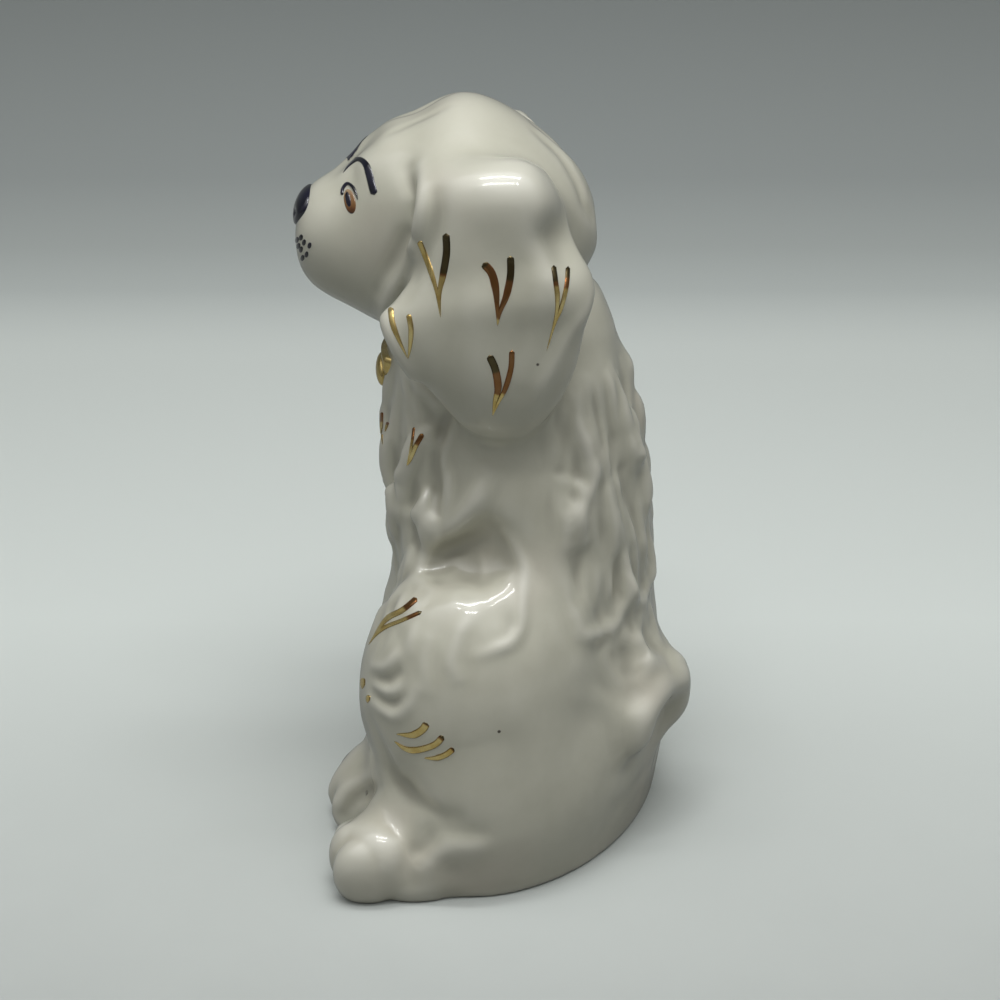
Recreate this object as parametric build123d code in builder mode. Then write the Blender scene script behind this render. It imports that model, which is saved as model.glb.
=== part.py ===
"""A seated pottery spaniel: slip castings luted together, glazed white, enamelled and gilded.

Millimetres, +Z up, origin on the table under the middle of the figure.
The dog looks along -Y and its left side is towards +X. The trunk is turned, so that the rump
and the tail are at the back, towards +Y and a little towards +X.
"""

import os
from math import cos, radians, sin

from build123d import *

os.makedirs("parts", exist_ok=True)

# Driving sizes of the whole figure
figure_height = 140.0
trunk_length = 76.0
trunk_width = 54.0
trunk_turn = 25.0

# Casting and closing of the hollow body
wall = 4.0
slab_thickness = 4.0
slab_recess = 0.8
vent_diameter = 9.0

# Trunk rings: height as a share of figure_height, centre along X and half size across the dog as
# shares of trunk_length, centre along Y and half size along the dog as shares of trunk_width, and
# the turn of the ring as a share of trunk_turn; the head is luted on at the neck ring
neck_share = (0.665, -0.085, 0.265, 0.015, 0.395, 0.00)
trunk_shares = [
    (0.000, 0.028, 0.478, 0.065, 0.455, 1.10),
    (0.035, 0.028, 0.492, 0.065, 0.470, 1.10),
    (0.105, 0.025, 0.505, 0.075, 0.490, 1.00),
    (0.200, 0.005, 0.475, 0.080, 0.490, 1.00),
    (0.285, -0.025, 0.430, 0.090, 0.447, 0.90),
    (0.370, -0.055, 0.392, 0.090, 0.437, 0.70),
    (0.455, -0.070, 0.350, 0.075, 0.440, 0.50),
    (0.535, -0.080, 0.320, 0.055, 0.432, 0.25),
    (0.605, -0.085, 0.290, 0.030, 0.408, 0.00),
    neck_share,
    (0.745, -0.080, 0.215, 0.000, 0.315, 0.00),
    (0.800, -0.080, 0.180, -0.010, 0.250, 0.00),
]

# Haunches, the place of each as shares of trunk_length and trunk_width
haunch_length = 43.0
haunch_breadth = 38.0
haunch_height = 56.0
haunch_rise = 33.0
left_haunch_share = (0.230, -0.085)
right_haunch_share = (-0.185, 0.190)
right_haunch_size_share = 0.92

# Locks of the coat, lens shapes that stand out of the trunk in rows at its rings
lock_length = 20.0
lock_width = 8.0
lock_depth = 3.6
lock_stand_out = 1.5
# Angles in degrees: from lock to lock round a ring, and the lean of a lock to either side
lock_pitch = 27.0
lock_lean = 15.0
# Fields of locks: first and last ring, first angle round the ring, from the dog's left towards its
# back, and locks in a row
lock_fields = [
    (5, 7, -152.0, 5),
    (4, 8, 34.0, 4),
]

# Head: nose to nape, crown to jaw and across the cheeks
head_depth = 53.5
head_height = 43.0
head_width = 39.0
head_reach = 36.5
# The head stands over the neck, which is off the middle by a share of trunk_length, and is hollow, its
# hollow given by the place of the middle and the half depth as shares of head_depth
head_offset = 0.08 * trunk_length
skull_hollow_share = (0.55, 0.33)
# Head rings from the nose back: place as a share of head_depth, drop of the centre below the crown and
# half height as shares of head_height, half width as a share of head_width
head_shares = [
    (0.000, 0.605, 0.045, 0.040),
    (0.010, 0.600, 0.110, 0.115),
    (0.037, 0.595, 0.185, 0.180),
    (0.120, 0.590, 0.270, 0.260),
    (0.235, 0.560, 0.375, 0.350),
    (0.385, 0.530, 0.460, 0.440),
    (0.550, 0.500, 0.500, 0.500),
    (0.700, 0.525, 0.470, 0.490),
    (0.830, 0.550, 0.385, 0.410),
    (0.945, 0.550, 0.240, 0.240),
    (1.000, 0.560, 0.090, 0.090),
]

# Ears
ear_length = 48.0
ear_breadth = 34.5
ear_thickness = 16.0
ear_drop = 8.0
# Ear rings from the top down: drop as a share of ear_length, place outwards as a share of head_width,
# half thickness as a share of ear_thickness, centre and half breadth as shares of ear_breadth
ear_shares = [
    (0.000, 0.425, 0.110, -0.085, 0.190),
    (0.012, 0.430, 0.240, -0.080, 0.265),
    (0.060, 0.450, 0.400, -0.070, 0.330),
    (0.180, 0.495, 0.470, -0.035, 0.385),
    (0.320, 0.535, 0.500, 0.030, 0.440),
    (0.490, 0.565, 0.500, -0.045, 0.500),
    (0.645, 0.580, 0.470, -0.050, 0.455),
    (0.790, 0.580, 0.405, -0.005, 0.350),
    (0.915, 0.565, 0.280, 0.010, 0.235),
    (0.980, 0.560, 0.160, 0.015, 0.130),
    (1.000, 0.560, 0.080, 0.015, 0.060),
]

# Legs and feet
foreleg_length = 62.0
foreleg_diameter = 15.0
paw_length = 19.0
paw_width = 18.0
paw_height = 16.0
hind_foot_length = 33.0
hind_foot_width = 18.0
hind_foot_height = 14.5
# Feet: place on the table as shares of trunk_length and trunk_width, heading as a share of trunk_turn
left_paw_share = (0.115, -0.435, 0.0)
right_paw_share = (-0.135, -0.300, -0.5)
left_hind_foot_share = (0.390, -0.270, 0.2)
right_hind_foot_share = (-0.340, 0.170, -1.0)
# Forelegs: foot and shoulder as shares of trunk_length and trunk_width
left_foreleg_share = ((0.090, -0.400), (-0.030, -0.215))
right_foreleg_share = ((-0.135, -0.290), (-0.150, -0.205))
# Foreleg rings: rise as a share of foreleg_length and half size as a share of foreleg_diameter
foreleg_shares = [
    (0.00, 0.44),
    (0.20, 0.44),
    (0.45, 0.50),
    (0.75, 0.50),
    (1.00, 0.40),
]
# Bumps of a foot: place across, along and up, then the three half sizes, as shares of its width,
# length and height
paw_shares = [
    (0.00, 0.00, 0.40, 0.50, 0.44, 0.60),
    (-0.30, 0.21, 0.33, 0.19, 0.27, 0.40),
    (0.00, 0.25, 0.36, 0.20, 0.28, 0.44),
    (0.30, 0.21, 0.33, 0.19, 0.27, 0.40),
]
hind_foot_shares = [
    (-0.02, -0.02, 0.10, 0.42, 0.38, 0.62),
    (0.00, -0.20, 0.34, 0.46, 0.32, 0.50),
    (0.00, 0.22, 0.42, 0.46, 0.22, 0.56),
    (-0.28, 0.32, 0.34, 0.21, 0.18, 0.44),
    (0.00, 0.34, 0.38, 0.22, 0.18, 0.48),
    (0.28, 0.32, 0.34, 0.21, 0.18, 0.44),
]

# Tail, a tapering roll of clay curled up against the rump
tail_thickness = 10.5
tail_curl = 15.0
tail_rise = 24.0
tail_turn = 30.0
tail_share = (0.130, 0.530)
# Tail rings: angle round the curl in degrees, then distance from the middle of the curl as a share of
# tail_curl and half size as a share of tail_thickness
tail_shares = [
    (200.0, 0.62, 0.12),
    (192.0, 0.62, 0.40),
    (160.0, 0.60, 0.50),
    (120.0, 0.56, 0.50),
    (80.0, 0.52, 0.50),
    (40.0, 0.50, 0.48),
    (0.0, 0.48, 0.44),
    (-40.0, 0.44, 0.36),
    (-70.0, 0.40, 0.26),
    (-82.0, 0.38, 0.08),
]

# Collar and the sprigged padlock on the chest
collar_thickness = 1.2
collar_width = 3.4
collar_drop = 0.4
padlock_width = 7.6
padlock_height = 6.6
padlock_thickness = 4.6
padlock_corner = 1.8
padlock_stand_out = 2.3
padlock_drop = 7.6
shackle_width = 5.4
shackle_height = 3.2
shackle_bar = 1.4

# Nose, a black button on the muzzle
nose_width = 7.8
nose_depth = 4.6
nose_height = 6.0
nose_set_back = 2.1
nose_rise = 5.7

# Fired enamel of the face; a mark's outline is carried through the surface by mark_depth
enamel_thickness = 0.30
mark_depth = 8.0
iris_width = 2.4
iris_height = 3.4
pupil_width = 1.3
pupil_height = 2.3
lid_width = 0.6
brow_width = 1.2
dot_diameter = 0.9
# The left eye, from the middle of the nose tip, as shares of head_width, head_depth and head_height,
# and the way it looks out of the head
eye_share = (0.236, 0.193, 0.232)
eye_direction = (0.73, -0.57, 0.37)
# Lid and brow, seen along the eye's direction, as shares of head_width
lid_share = ((-0.042, -0.010), (0.000, 0.060), (0.049, -0.015))
brow_share = ((-0.123, 0.103), (-0.040, 0.180), (0.131, 0.046))
# Whisker dots, seen from the side of the muzzle, as shares of head_width
muzzle_direction = (0.65, -0.76, 0.0)
dot_shares = [
    (0.100, 0.028),
    (0.140, 0.044),
    (0.167, 0.030),
    (0.200, 0.025),
    (0.149, -0.004),
    (0.180, -0.018),
    (0.100, -0.036),
    (0.120, -0.064),
]

# Gilt tufts: left top, right top and tip of each
gilding_thickness = 0.25
stroke_width = 1.5
# On the ear, place along Y as a share of ear_breadth and drop as a share of ear_length
ear_tuft_shares = [
    ((-0.375, 0.255), (-0.260, 0.190), (-0.293, 0.473)),
    ((-0.065, 0.273), (0.052, 0.252), (-0.009, 0.494)),
    ((0.272, 0.298), (0.336, 0.300), (0.241, 0.592)),
    ((-0.035, 0.604), (0.058, 0.594), (-0.026, 0.860)),
    ((-0.495, 0.475), (-0.425, 0.480), (-0.450, 0.660)),
]
# On the chest, place along X as a share of trunk_length and rise as a share of figure_height
chest_tuft_shares = [
    ((0.096, 0.573), (0.130, 0.591), (0.088, 0.546)),
    ((-0.059, 0.575), (-0.008, 0.579), (-0.026, 0.525)),
    ((-0.288, 0.591), (-0.254, 0.573), (-0.246, 0.546)),
    ((-0.150, 0.579), (-0.099, 0.575), (-0.132, 0.525)),
    ((-0.105, 0.486), (-0.059, 0.489), (-0.079, 0.436)),
]
# On the left haunch, from its middle, seen from the front left, as shares of haunch_length and
# haunch_height: a forked tuft and single strokes given by start, middle and end
haunch_direction = (0.707, -0.707, 0.0)
haunch_tuft_share = ((-0.085, 0.400), (-0.045, 0.380), (-0.244, 0.216))
haunch_stroke_shares = [
    ((0.142, 0.057), (0.060, 0.000), (-0.002, -0.020)),
    ((0.195, 0.014), (0.090, -0.055), (-0.023, -0.052)),
    ((0.235, -0.018), (0.180, -0.060), (0.128, -0.065)),
    ((-0.256, 0.130), (-0.215, 0.090), (-0.177, 0.080)),
]


def ring(plane, half_across, half_up):
    """Elliptical ring of four quarter arcs, so that every ring starts at the same side."""
    with BuildSketch(plane) as outline:
        with BuildLine():
            for quarter in range(4):
                EllipticalCenterArc((0, 0), half_across, half_up, 90 * quarter, arc_size=90)
        make_face()
    return outline.sketch


def level(x, y, z, turn=0.0):
    """Horizontal plane for a ring of an upright form, turned clockwise as seen from above."""
    return Plane(origin=(x, y, z), x_dir=(cos(radians(turn)), -sin(radians(turn)), 0))


def upright(x, y, z):
    """Plane across the muzzle, seen from the front, with its second axis up."""
    return Plane(origin=(x, y, z), x_dir=(1, 0, 0), z_dir=(0, -1, 0))


def facing(origin, direction):
    """Plane that looks along a direction, with its second axis as upright as it can be."""
    outward = Vector(direction)
    return Plane(origin=origin, x_dir=Vector(0, 0, 1).cross(outward), z_dir=outward)


def ellipsoid(centre, half_sizes, place=Location()):
    """Ellipsoid that stands apart from the part being built."""
    ball = scale(Sphere(1, mode=Mode.PRIVATE), by=half_sizes, mode=Mode.PRIVATE)
    return ball.moved(place * Location(centre))


def add_ellipsoid(centre, half_sizes, place=Location(), mode=Mode.ADD):
    """Ellipsoid that joins, or cuts, the part being built."""
    add(ellipsoid(centre, half_sizes, place), mode=mode)


def brush_strokes(plane, marks, width):
    """Leaf-shaped strokes, each through a start, a middle and an end, widest at its middle."""
    with BuildSketch(plane) as paint:
        for start, middle, end in marks:
            side = (end - start).rotate(Axis.Z, 90).normalized() * (width / 2)
            with BuildLine():
                ThreePointArc(start, middle + side, end)
                ThreePointArc(start, middle - side, end)
            make_face()
    return paint.sketch


def tuft_marks(tufts):
    """Two limbs for each tuft, which meet at its tip."""
    return [
        (top, (top + tip) / 2, tip) for left, right, tip in tufts for top in (left, right)
    ]


def scaled(shares, across, up):
    """Points of a mark, worked out from shares of two sizes."""
    return [Vector(x * across, y * up) for x, y in shares]


def trunk_rings(skin=0.0):
    """Rings of the trunk and neck, grown outwards by skin."""
    return [
        ring(
            level(x * trunk_length, y * trunk_width, z * figure_height, turn * trunk_turn),
            half_x * trunk_length + skin,
            half_y * trunk_width + skin,
        )
        for z, x, half_x, y, half_y, turn in trunk_shares
    ]


def trunk_lock(ring_share, angle, lean, skin):
    """One lock, half sunk in the trunk at an angle round one of its rings."""
    z, x, half_x, y, half_y, turn = ring_share
    half_x *= trunk_length
    half_y *= trunk_width
    plane = level(x * trunk_length, y * trunk_width, z * figure_height, turn * trunk_turn)
    along = Vector(cos(radians(angle)), sin(radians(angle)))
    seat = plane.from_local_coords(Vector(along.X * half_x, along.Y * half_y))
    outward = plane.x_dir * (along.X / half_x) + plane.y_dir * (along.Y / half_y)
    return ellipsoid(
        (0, 0, lock_stand_out - lock_depth),
        (lock_width / 2 + skin, lock_length / 2 + skin, lock_depth + skin),
        facing(seat, outward).location * Location((0, 0, 0), (0, 0, lean)),
    )


def add_locks(skin=0.0):
    """Fields of locks on the breast and the back, staggered and leaning by turns."""
    locks = []
    for first_ring, last_ring, first_angle, count in lock_fields:
        for row, ring_share in enumerate(trunk_shares[first_ring : last_ring + 1]):
            for column in range(count):
                angle = first_angle + (column + row % 2 / 2) * lock_pitch
                lean = lock_lean if (row + column) % 2 else -lock_lean
                locks.append(trunk_lock(ring_share, angle, lean, skin))
    add(locks)


def add_haunches(skin=0.0):
    """Both thighs, swelling out of the trunk."""
    for share, size in ((left_haunch_share, 1), (right_haunch_share, right_haunch_size_share)):
        add_ellipsoid(
            (share[0] * trunk_length, share[1] * trunk_width, haunch_rise * size),
            (
                haunch_breadth * size / 2 + skin,
                haunch_length * size / 2 + skin,
                haunch_height * size / 2 + skin,
            ),
        )


def head_rings(skin=0.0):
    """Rings of the head from the nose back, grown outwards by skin."""
    return [
        ring(
            upright(
                -head_offset,
                place * head_depth - head_reach,
                figure_height - drop * head_height,
            ),
            half_x * head_width + skin,
            half_z * head_height + skin,
        )
        for place, drop, half_z, half_x in head_shares
    ]


def ear_rings(skin=0.0):
    """Rings of the dog's left ear from the top down, grown outwards by skin."""
    return [
        ring(
            level(
                out * head_width - head_offset,
                y * ear_breadth,
                figure_height - ear_drop - drop * ear_length,
            ),
            half_x * ear_thickness + skin,
            half_y * ear_breadth + skin,
        )
        for drop, out, half_x, y, half_y in ear_shares
    ]


def foreleg_rings(foot_share, shoulder_share):
    """Rings of a foreleg from the foot up to the shoulder."""
    rings = []
    for rise, half in foreleg_shares:
        x = foot_share[0] + rise * (shoulder_share[0] - foot_share[0])
        y = foot_share[1] + rise * (shoulder_share[1] - foot_share[1])
        plane = level(x * trunk_length, y * trunk_width, rise * foreleg_length)
        rings.append(ring(plane, half * foreleg_diameter, half * foreleg_diameter))
    return rings


def add_foot(share, bump_shares, width, length, height):
    """Instep and toes, pointing along -Y before the foot is turned to its heading."""
    place = Location(
        (share[0] * trunk_length, share[1] * trunk_width, 0), (0, 0, share[2] * trunk_turn)
    )
    for across, along, up, half_across, half_along, half_up in bump_shares:
        add_ellipsoid(
            (across * width, -along * length, up * height),
            (half_across * width, half_along * length, half_up * height),
            place,
        )


def tail_rings():
    """Rings of the tail round its curl, which lies flat against the rump."""
    outward = Vector(sin(radians(tail_turn)), cos(radians(tail_turn)), 0)
    sideways = Vector(-cos(radians(tail_turn)), sin(radians(tail_turn)), 0)
    middle = Vector(tail_share[0] * trunk_length, tail_share[1] * trunk_width, tail_rise)
    rings = []
    for angle, reach, half in tail_shares:
        spoke = sideways * cos(radians(angle)) + Vector(0, 0, 1) * sin(radians(angle))
        plane = Plane(
            origin=middle + spoke * (reach * tail_curl), x_dir=spoke, z_dir=spoke.cross(outward)
        )
        rings.append(ring(plane, half * tail_thickness, half * tail_thickness))
    return rings


# Whole forms, from which the castings and their seats are cut
with BuildPart() as trunk_form:
    loft(sections=trunk_rings())

with BuildPart() as body_form:
    add(trunk_form.part)
    add_haunches()
    add_locks()

with BuildPart() as hollow_form:
    loft(sections=trunk_rings(-wall))
    add_haunches(-wall)

with BuildPart() as head_form:
    loft(sections=head_rings())

with BuildPart() as ear_form:
    loft(sections=ear_rings())

table = Plane.XY
neck_seam_height = neck_share[0] * figure_height
neck_front = (neck_share[3] - neck_share[4]) * trunk_width
neck_plane = table.offset(neck_seam_height)
median_plane = Plane.YZ.offset(-head_offset)
nose_tip = Vector(-head_offset, -head_reach, figure_height - head_shares[0][1] * head_height)

# Body shell, open at the foot and at the neck
with BuildPart() as body:
    add(body_form.part)
    add(hollow_form.part, mode=Mode.SUBTRACT)
    split(bisect_by=neck_plane, keep=Keep.BOTTOM)
    split(bisect_by=table, keep=Keep.TOP)
body.part.label = "body"

# Slab that closes the foot, with the vent hole for firing
with BuildPart() as base_slab:
    add(hollow_form.part)
    split(bisect_by=table.offset(slab_recess), keep=Keep.TOP)
    split(bisect_by=table.offset(slab_recess + slab_thickness), keep=Keep.BOTTOM)
    with Locations(table.offset(slab_recess + slab_thickness)):
        Hole(vent_diameter / 2)
base_slab.part.label = "base_slab"

# Head with the upper half of the neck, hollow inside
with BuildPart() as head:
    add(trunk_form.part)
    add(head_form.part)
    split(bisect_by=neck_plane, keep=Keep.TOP)
    add(hollow_form.part, mode=Mode.SUBTRACT)
    add_ellipsoid(
        (
            -head_offset,
            nose_tip.Y + skull_hollow_share[0] * head_depth,
            figure_height - head_height / 2,
        ),
        (head_width / 2 - wall, skull_hollow_share[1] * head_depth, head_height / 2 - wall),
        mode=Mode.SUBTRACT,
    )
head.part.label = "head"

with BuildPart() as left_ear:
    add(ear_form.part)
    add(head_form.part, mode=Mode.SUBTRACT)
    add(body_form.part, mode=Mode.SUBTRACT)
left_ear.part.label = "left_ear"

with BuildPart() as right_ear:
    add(ear_form.part)
    mirror(about=median_plane, mode=Mode.REPLACE)
    add(head_form.part, mode=Mode.SUBTRACT)
    add(body_form.part, mode=Mode.SUBTRACT)
right_ear.part.label = "right_ear"

with BuildPart() as left_foreleg:
    loft(sections=foreleg_rings(*left_foreleg_share))
    add_foot(left_paw_share, paw_shares, paw_width, paw_length, paw_height)
    split(bisect_by=table, keep=Keep.TOP)
    add(body_form.part, mode=Mode.SUBTRACT)
left_foreleg.part.label = "left_foreleg"

with BuildPart() as right_foreleg:
    loft(sections=foreleg_rings(*right_foreleg_share))
    add_foot(right_paw_share, paw_shares, paw_width, paw_length, paw_height)
    split(bisect_by=table, keep=Keep.TOP)
    add(body_form.part, mode=Mode.SUBTRACT)
    add(left_foreleg.part, mode=Mode.SUBTRACT)
right_foreleg.part.label = "right_foreleg"

with BuildPart() as left_hind_foot:
    add_foot(
        left_hind_foot_share, hind_foot_shares, hind_foot_width, hind_foot_length, hind_foot_height
    )
    split(bisect_by=table, keep=Keep.TOP)
    add(body_form.part, mode=Mode.SUBTRACT)
left_hind_foot.part.label = "left_hind_foot"

with BuildPart() as right_hind_foot:
    add_foot(
        right_hind_foot_share, hind_foot_shares, hind_foot_width, hind_foot_length, hind_foot_height
    )
    split(bisect_by=table, keep=Keep.TOP)
    add(body_form.part, mode=Mode.SUBTRACT)
right_hind_foot.part.label = "right_hind_foot"

with BuildPart() as tail:
    loft(sections=tail_rings())
    add(body_form.part, mode=Mode.SUBTRACT)
tail.part.label = "tail"

# Collar, a band round the front of the neck from ear to ear
with BuildPart() as collar:
    loft(sections=trunk_rings(collar_thickness))
    split(bisect_by=neck_plane.offset(-collar_drop), keep=Keep.BOTTOM)
    split(bisect_by=neck_plane.offset(-collar_drop - collar_width), keep=Keep.TOP)
    split(bisect_by=Plane.XZ, keep=Keep.TOP)
    add(trunk_form.part, mode=Mode.SUBTRACT)
    add(left_ear.part, mode=Mode.SUBTRACT)
    add(right_ear.part, mode=Mode.SUBTRACT)
collar.part.label = "collar"

# Padlock with its shackle, seated on the chest and over the collar
with BuildPart() as padlock:
    padlock_foot = Vector(-head_offset, neck_front - padlock_stand_out, neck_seam_height - padlock_drop)
    with BuildSketch(upright(*padlock_foot)):
        with Locations((0, padlock_height)):
            SlotOverall(shackle_height * 2, shackle_width, rotation=90)
            SlotOverall(
                (shackle_height - shackle_bar) * 2,
                shackle_width - shackle_bar * 2,
                rotation=90,
                mode=Mode.SUBTRACT,
            )
        with Locations((0, padlock_height / 2)):
            RectangleRounded(padlock_width, padlock_height, padlock_corner)
    extrude(amount=-padlock_thickness)
    add(trunk_form.part, mode=Mode.SUBTRACT)
    add(head_form.part, mode=Mode.SUBTRACT)
    add(collar.part, mode=Mode.SUBTRACT)
padlock.part.label = "padlock"

with BuildPart() as nose:
    add_ellipsoid(
        (nose_tip.X, nose_tip.Y + nose_set_back, nose_tip.Z + nose_rise),
        (nose_width / 2, nose_depth / 2, nose_height / 2),
    )
    add(head_form.part, mode=Mode.SUBTRACT)
nose.part.label = "nose"

# Skins of the head, between which the enamel lies
with BuildPart() as enamel_skin:
    loft(sections=head_rings(enamel_thickness))

with BuildPart() as pupil_skin:
    loft(sections=head_rings(enamel_thickness * 2))

eye_centre = nose_tip + Vector(
    eye_share[0] * head_width, eye_share[1] * head_depth, eye_share[2] * head_height
)
eye_plane = facing(eye_centre, eye_direction)

with BuildPart() as left_iris:
    with BuildSketch(eye_plane):
        Ellipse(iris_height / 2, iris_width / 2, rotation=90)
    extrude(amount=mark_depth, both=True)
    add(enamel_skin.part, mode=Mode.INTERSECT)
    add(head_form.part, mode=Mode.SUBTRACT)

with BuildPart() as left_pupil:
    with BuildSketch(eye_plane):
        Ellipse(pupil_height / 2, pupil_width / 2, rotation=90)
    extrude(amount=mark_depth, both=True)
    add(pupil_skin.part, mode=Mode.INTERSECT)
    add(enamel_skin.part, mode=Mode.SUBTRACT)

with BuildPart() as left_lid:
    lid_marks = [scaled(lid_share, head_width, head_width)]
    extrude(brush_strokes(eye_plane, lid_marks, lid_width), amount=mark_depth, both=True)
    add(enamel_skin.part, mode=Mode.INTERSECT)
    add(head_form.part, mode=Mode.SUBTRACT)

with BuildPart() as left_brow:
    brow_marks = [scaled(brow_share, head_width, head_width)]
    extrude(brush_strokes(eye_plane, brow_marks, brow_width), amount=mark_depth, both=True)
    add(enamel_skin.part, mode=Mode.INTERSECT)
    add(head_form.part, mode=Mode.SUBTRACT)

with BuildPart() as left_whisker_dots:
    with BuildSketch(facing(nose_tip, muzzle_direction)):
        with Locations(*scaled(dot_shares, head_width, head_width)):
            Circle(dot_diameter / 2)
    extrude(amount=mark_depth, both=True)
    add(enamel_skin.part, mode=Mode.INTERSECT)
    add(head_form.part, mode=Mode.SUBTRACT)

# Skins of the ear and the body, under which the gilding lies
with BuildPart() as ear_skin:
    loft(sections=ear_rings(gilding_thickness))

with BuildPart() as body_skin:
    loft(sections=trunk_rings(gilding_thickness))
    add_haunches(gilding_thickness)
    add_locks(gilding_thickness)

with BuildPart() as left_ear_gilding:
    ear_middle = Vector(head_width / 2 - head_offset, 0, figure_height - ear_drop)
    ear_tufts = [
        [Vector(y * ear_breadth, -drop * ear_length) for y, drop in tuft] for tuft in ear_tuft_shares
    ]
    extrude(
        brush_strokes(facing(ear_middle, (1, 0, 0)), tuft_marks(ear_tufts), stroke_width),
        amount=ear_thickness,
    )
    add(ear_skin.part, mode=Mode.INTERSECT)
    add(ear_form.part, mode=Mode.SUBTRACT)

with BuildPart() as chest_gilding:
    chest_tufts = [scaled(tuft, trunk_length, figure_height) for tuft in chest_tuft_shares]
    extrude(
        brush_strokes(upright(0, 0, 0), tuft_marks(chest_tufts), stroke_width), amount=trunk_width
    )
    add(body_skin.part, mode=Mode.INTERSECT)
    add(body_form.part, mode=Mode.SUBTRACT)
chest_gilding.part.label = "chest_gilding"

with BuildPart() as haunch_gilding:
    haunch_centre = (
        left_haunch_share[0] * trunk_length,
        left_haunch_share[1] * trunk_width,
        haunch_rise,
    )
    haunch_marks = tuft_marks([scaled(haunch_tuft_share, haunch_length, haunch_height)])
    haunch_marks += [scaled(mark, haunch_length, haunch_height) for mark in haunch_stroke_shares]
    extrude(
        brush_strokes(facing(haunch_centre, haunch_direction), haunch_marks, stroke_width),
        amount=haunch_length,
    )
    add(body_skin.part, mode=Mode.INTERSECT)
    add(body_form.part, mode=Mode.SUBTRACT)
haunch_gilding.part.label = "haunch_gilding"

pieces = [
    body.part,
    base_slab.part,
    head.part,
    left_ear.part,
    right_ear.part,
    left_foreleg.part,
    right_foreleg.part,
    left_hind_foot.part,
    right_hind_foot.part,
    tail.part,
    collar.part,
    padlock.part,
    nose.part,
    chest_gilding.part,
    haunch_gilding.part,
]

# Marks on the left of the head are repeated, mirrored, on the right
left_marks = {
    "iris": left_iris,
    "pupil": left_pupil,
    "lid": left_lid,
    "brow": left_brow,
    "whisker_dots": left_whisker_dots,
    "ear_gilding": left_ear_gilding,
}
for name, mark in left_marks.items():
    with BuildPart() as right_mark:
        mirror(mark.part, about=median_plane)
    mark.part.label = f"left_{name}"
    right_mark.part.label = f"right_{name}"
    pieces += [mark.part, right_mark.part]

# The middle of the figure's outline comes to the origin
middle = Compound(pieces).bounding_box().center()
for piece in pieces:
    export_step(piece.moved(Location((-middle.X, -middle.Y, 0))), f"parts/{piece.label}.step")
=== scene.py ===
# %% [markdown]
# # A seated spaniel in glazed earthenware
# The real ornament is slip-cast: body, head, ears, legs and tail come out of plaster moulds,
# are luted together with wet clay, sponged smooth, dipped in a cream glaze and then painted with
# black enamel and gold. The lesson follows that order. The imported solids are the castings, and
# every step below is one that a potter or a decorator would know.

# %% Load the castings
import math

import bmesh
import bpy
import numpy as np
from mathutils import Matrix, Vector, noise
from mathutils.bvhtree import BVHTree


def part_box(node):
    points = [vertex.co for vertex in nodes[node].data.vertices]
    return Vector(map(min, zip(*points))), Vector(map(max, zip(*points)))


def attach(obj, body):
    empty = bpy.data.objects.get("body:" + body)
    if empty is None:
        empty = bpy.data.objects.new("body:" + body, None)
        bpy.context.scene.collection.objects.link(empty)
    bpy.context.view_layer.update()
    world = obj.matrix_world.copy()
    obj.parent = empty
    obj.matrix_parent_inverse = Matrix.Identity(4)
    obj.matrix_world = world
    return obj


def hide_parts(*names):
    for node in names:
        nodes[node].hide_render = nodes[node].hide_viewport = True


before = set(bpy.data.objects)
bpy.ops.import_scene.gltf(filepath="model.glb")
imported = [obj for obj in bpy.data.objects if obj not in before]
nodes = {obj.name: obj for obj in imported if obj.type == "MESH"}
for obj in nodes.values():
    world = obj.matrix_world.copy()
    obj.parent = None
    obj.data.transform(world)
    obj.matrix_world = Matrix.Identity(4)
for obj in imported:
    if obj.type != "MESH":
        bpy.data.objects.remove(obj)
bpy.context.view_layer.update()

MM = 0.001
scene = bpy.context.scene

# %% [markdown]
# ## The camera comes first
# The decorator's marks are easiest to place as the eye sees them, so the camera that matches the
# picture is set up before anything is modelled. It stands level with the dog's left side and looks
# down a little. A sight line through a point of the 1000 x 1000 picture then finds the place on the
# clay that the point shows.

# %% Camera and sight lines
LOOK_DOWN = math.radians(26.0)
FIELD = math.radians(26.0)
STAND_OFF = 405 * MM
AIM = Vector((0, 0, 64.4 * MM))
PICTURE_SIDE = 1000

eye_point = AIM + Vector((math.cos(LOOK_DOWN), 0, math.sin(LOOK_DOWN))) * STAND_OFF
ahead = (AIM - eye_point).normalized()
rightward = ahead.cross(Vector((0, 0, 1))).normalized()
upward = rightward.cross(ahead)

lens = bpy.data.cameras.new("picture_camera")
lens.angle = FIELD
lens.clip_start = 0.01
camera = bpy.data.objects.new("picture_camera", lens)
camera.location = eye_point
camera.rotation_euler = ahead.to_track_quat("-Z", "Y").to_euler()
scene.collection.objects.link(camera)
scene.camera = camera


def sight_line(across, down):
    """Direction from the camera through a point of the picture, given in its pixels."""
    reach = 2 * math.tan(FIELD / 2)
    aside = (across / PICTURE_SIDE - 0.5) * reach
    above = (0.5 - down / PICTURE_SIDE) * reach
    return (ahead + rightward * aside + upward * above).normalized()


print("camera at, in mm:", [round(c / MM) for c in eye_point])

# %% [markdown]
# ## Luting the castings into one skin
# Luted and sponged clay has no sharp joints: the ear flows into the skull and the leg into the
# chest. Booleans would keep every crease, so the castings are copied together and remeshed on a
# fine voxel grid, which is Blender's way to wet the clay. Only the outer skin is kept. The vent in
# the base is stopped with a small plug first, or the grid would run into the hollow.

# %% Join the castings and remesh
CASTINGS = ("body", "head", "left_ear", "right_ear", "left_foreleg", "right_foreleg",
            "left_hind_foot", "right_hind_foot", "tail", "base_slab")
CLAY_GRAIN = 0.55 * MM
PLUG_RADIUS = 6 * MM
PLUG_HEIGHT = 3 * MM
TOUCHING = 0.001 * MM

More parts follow.
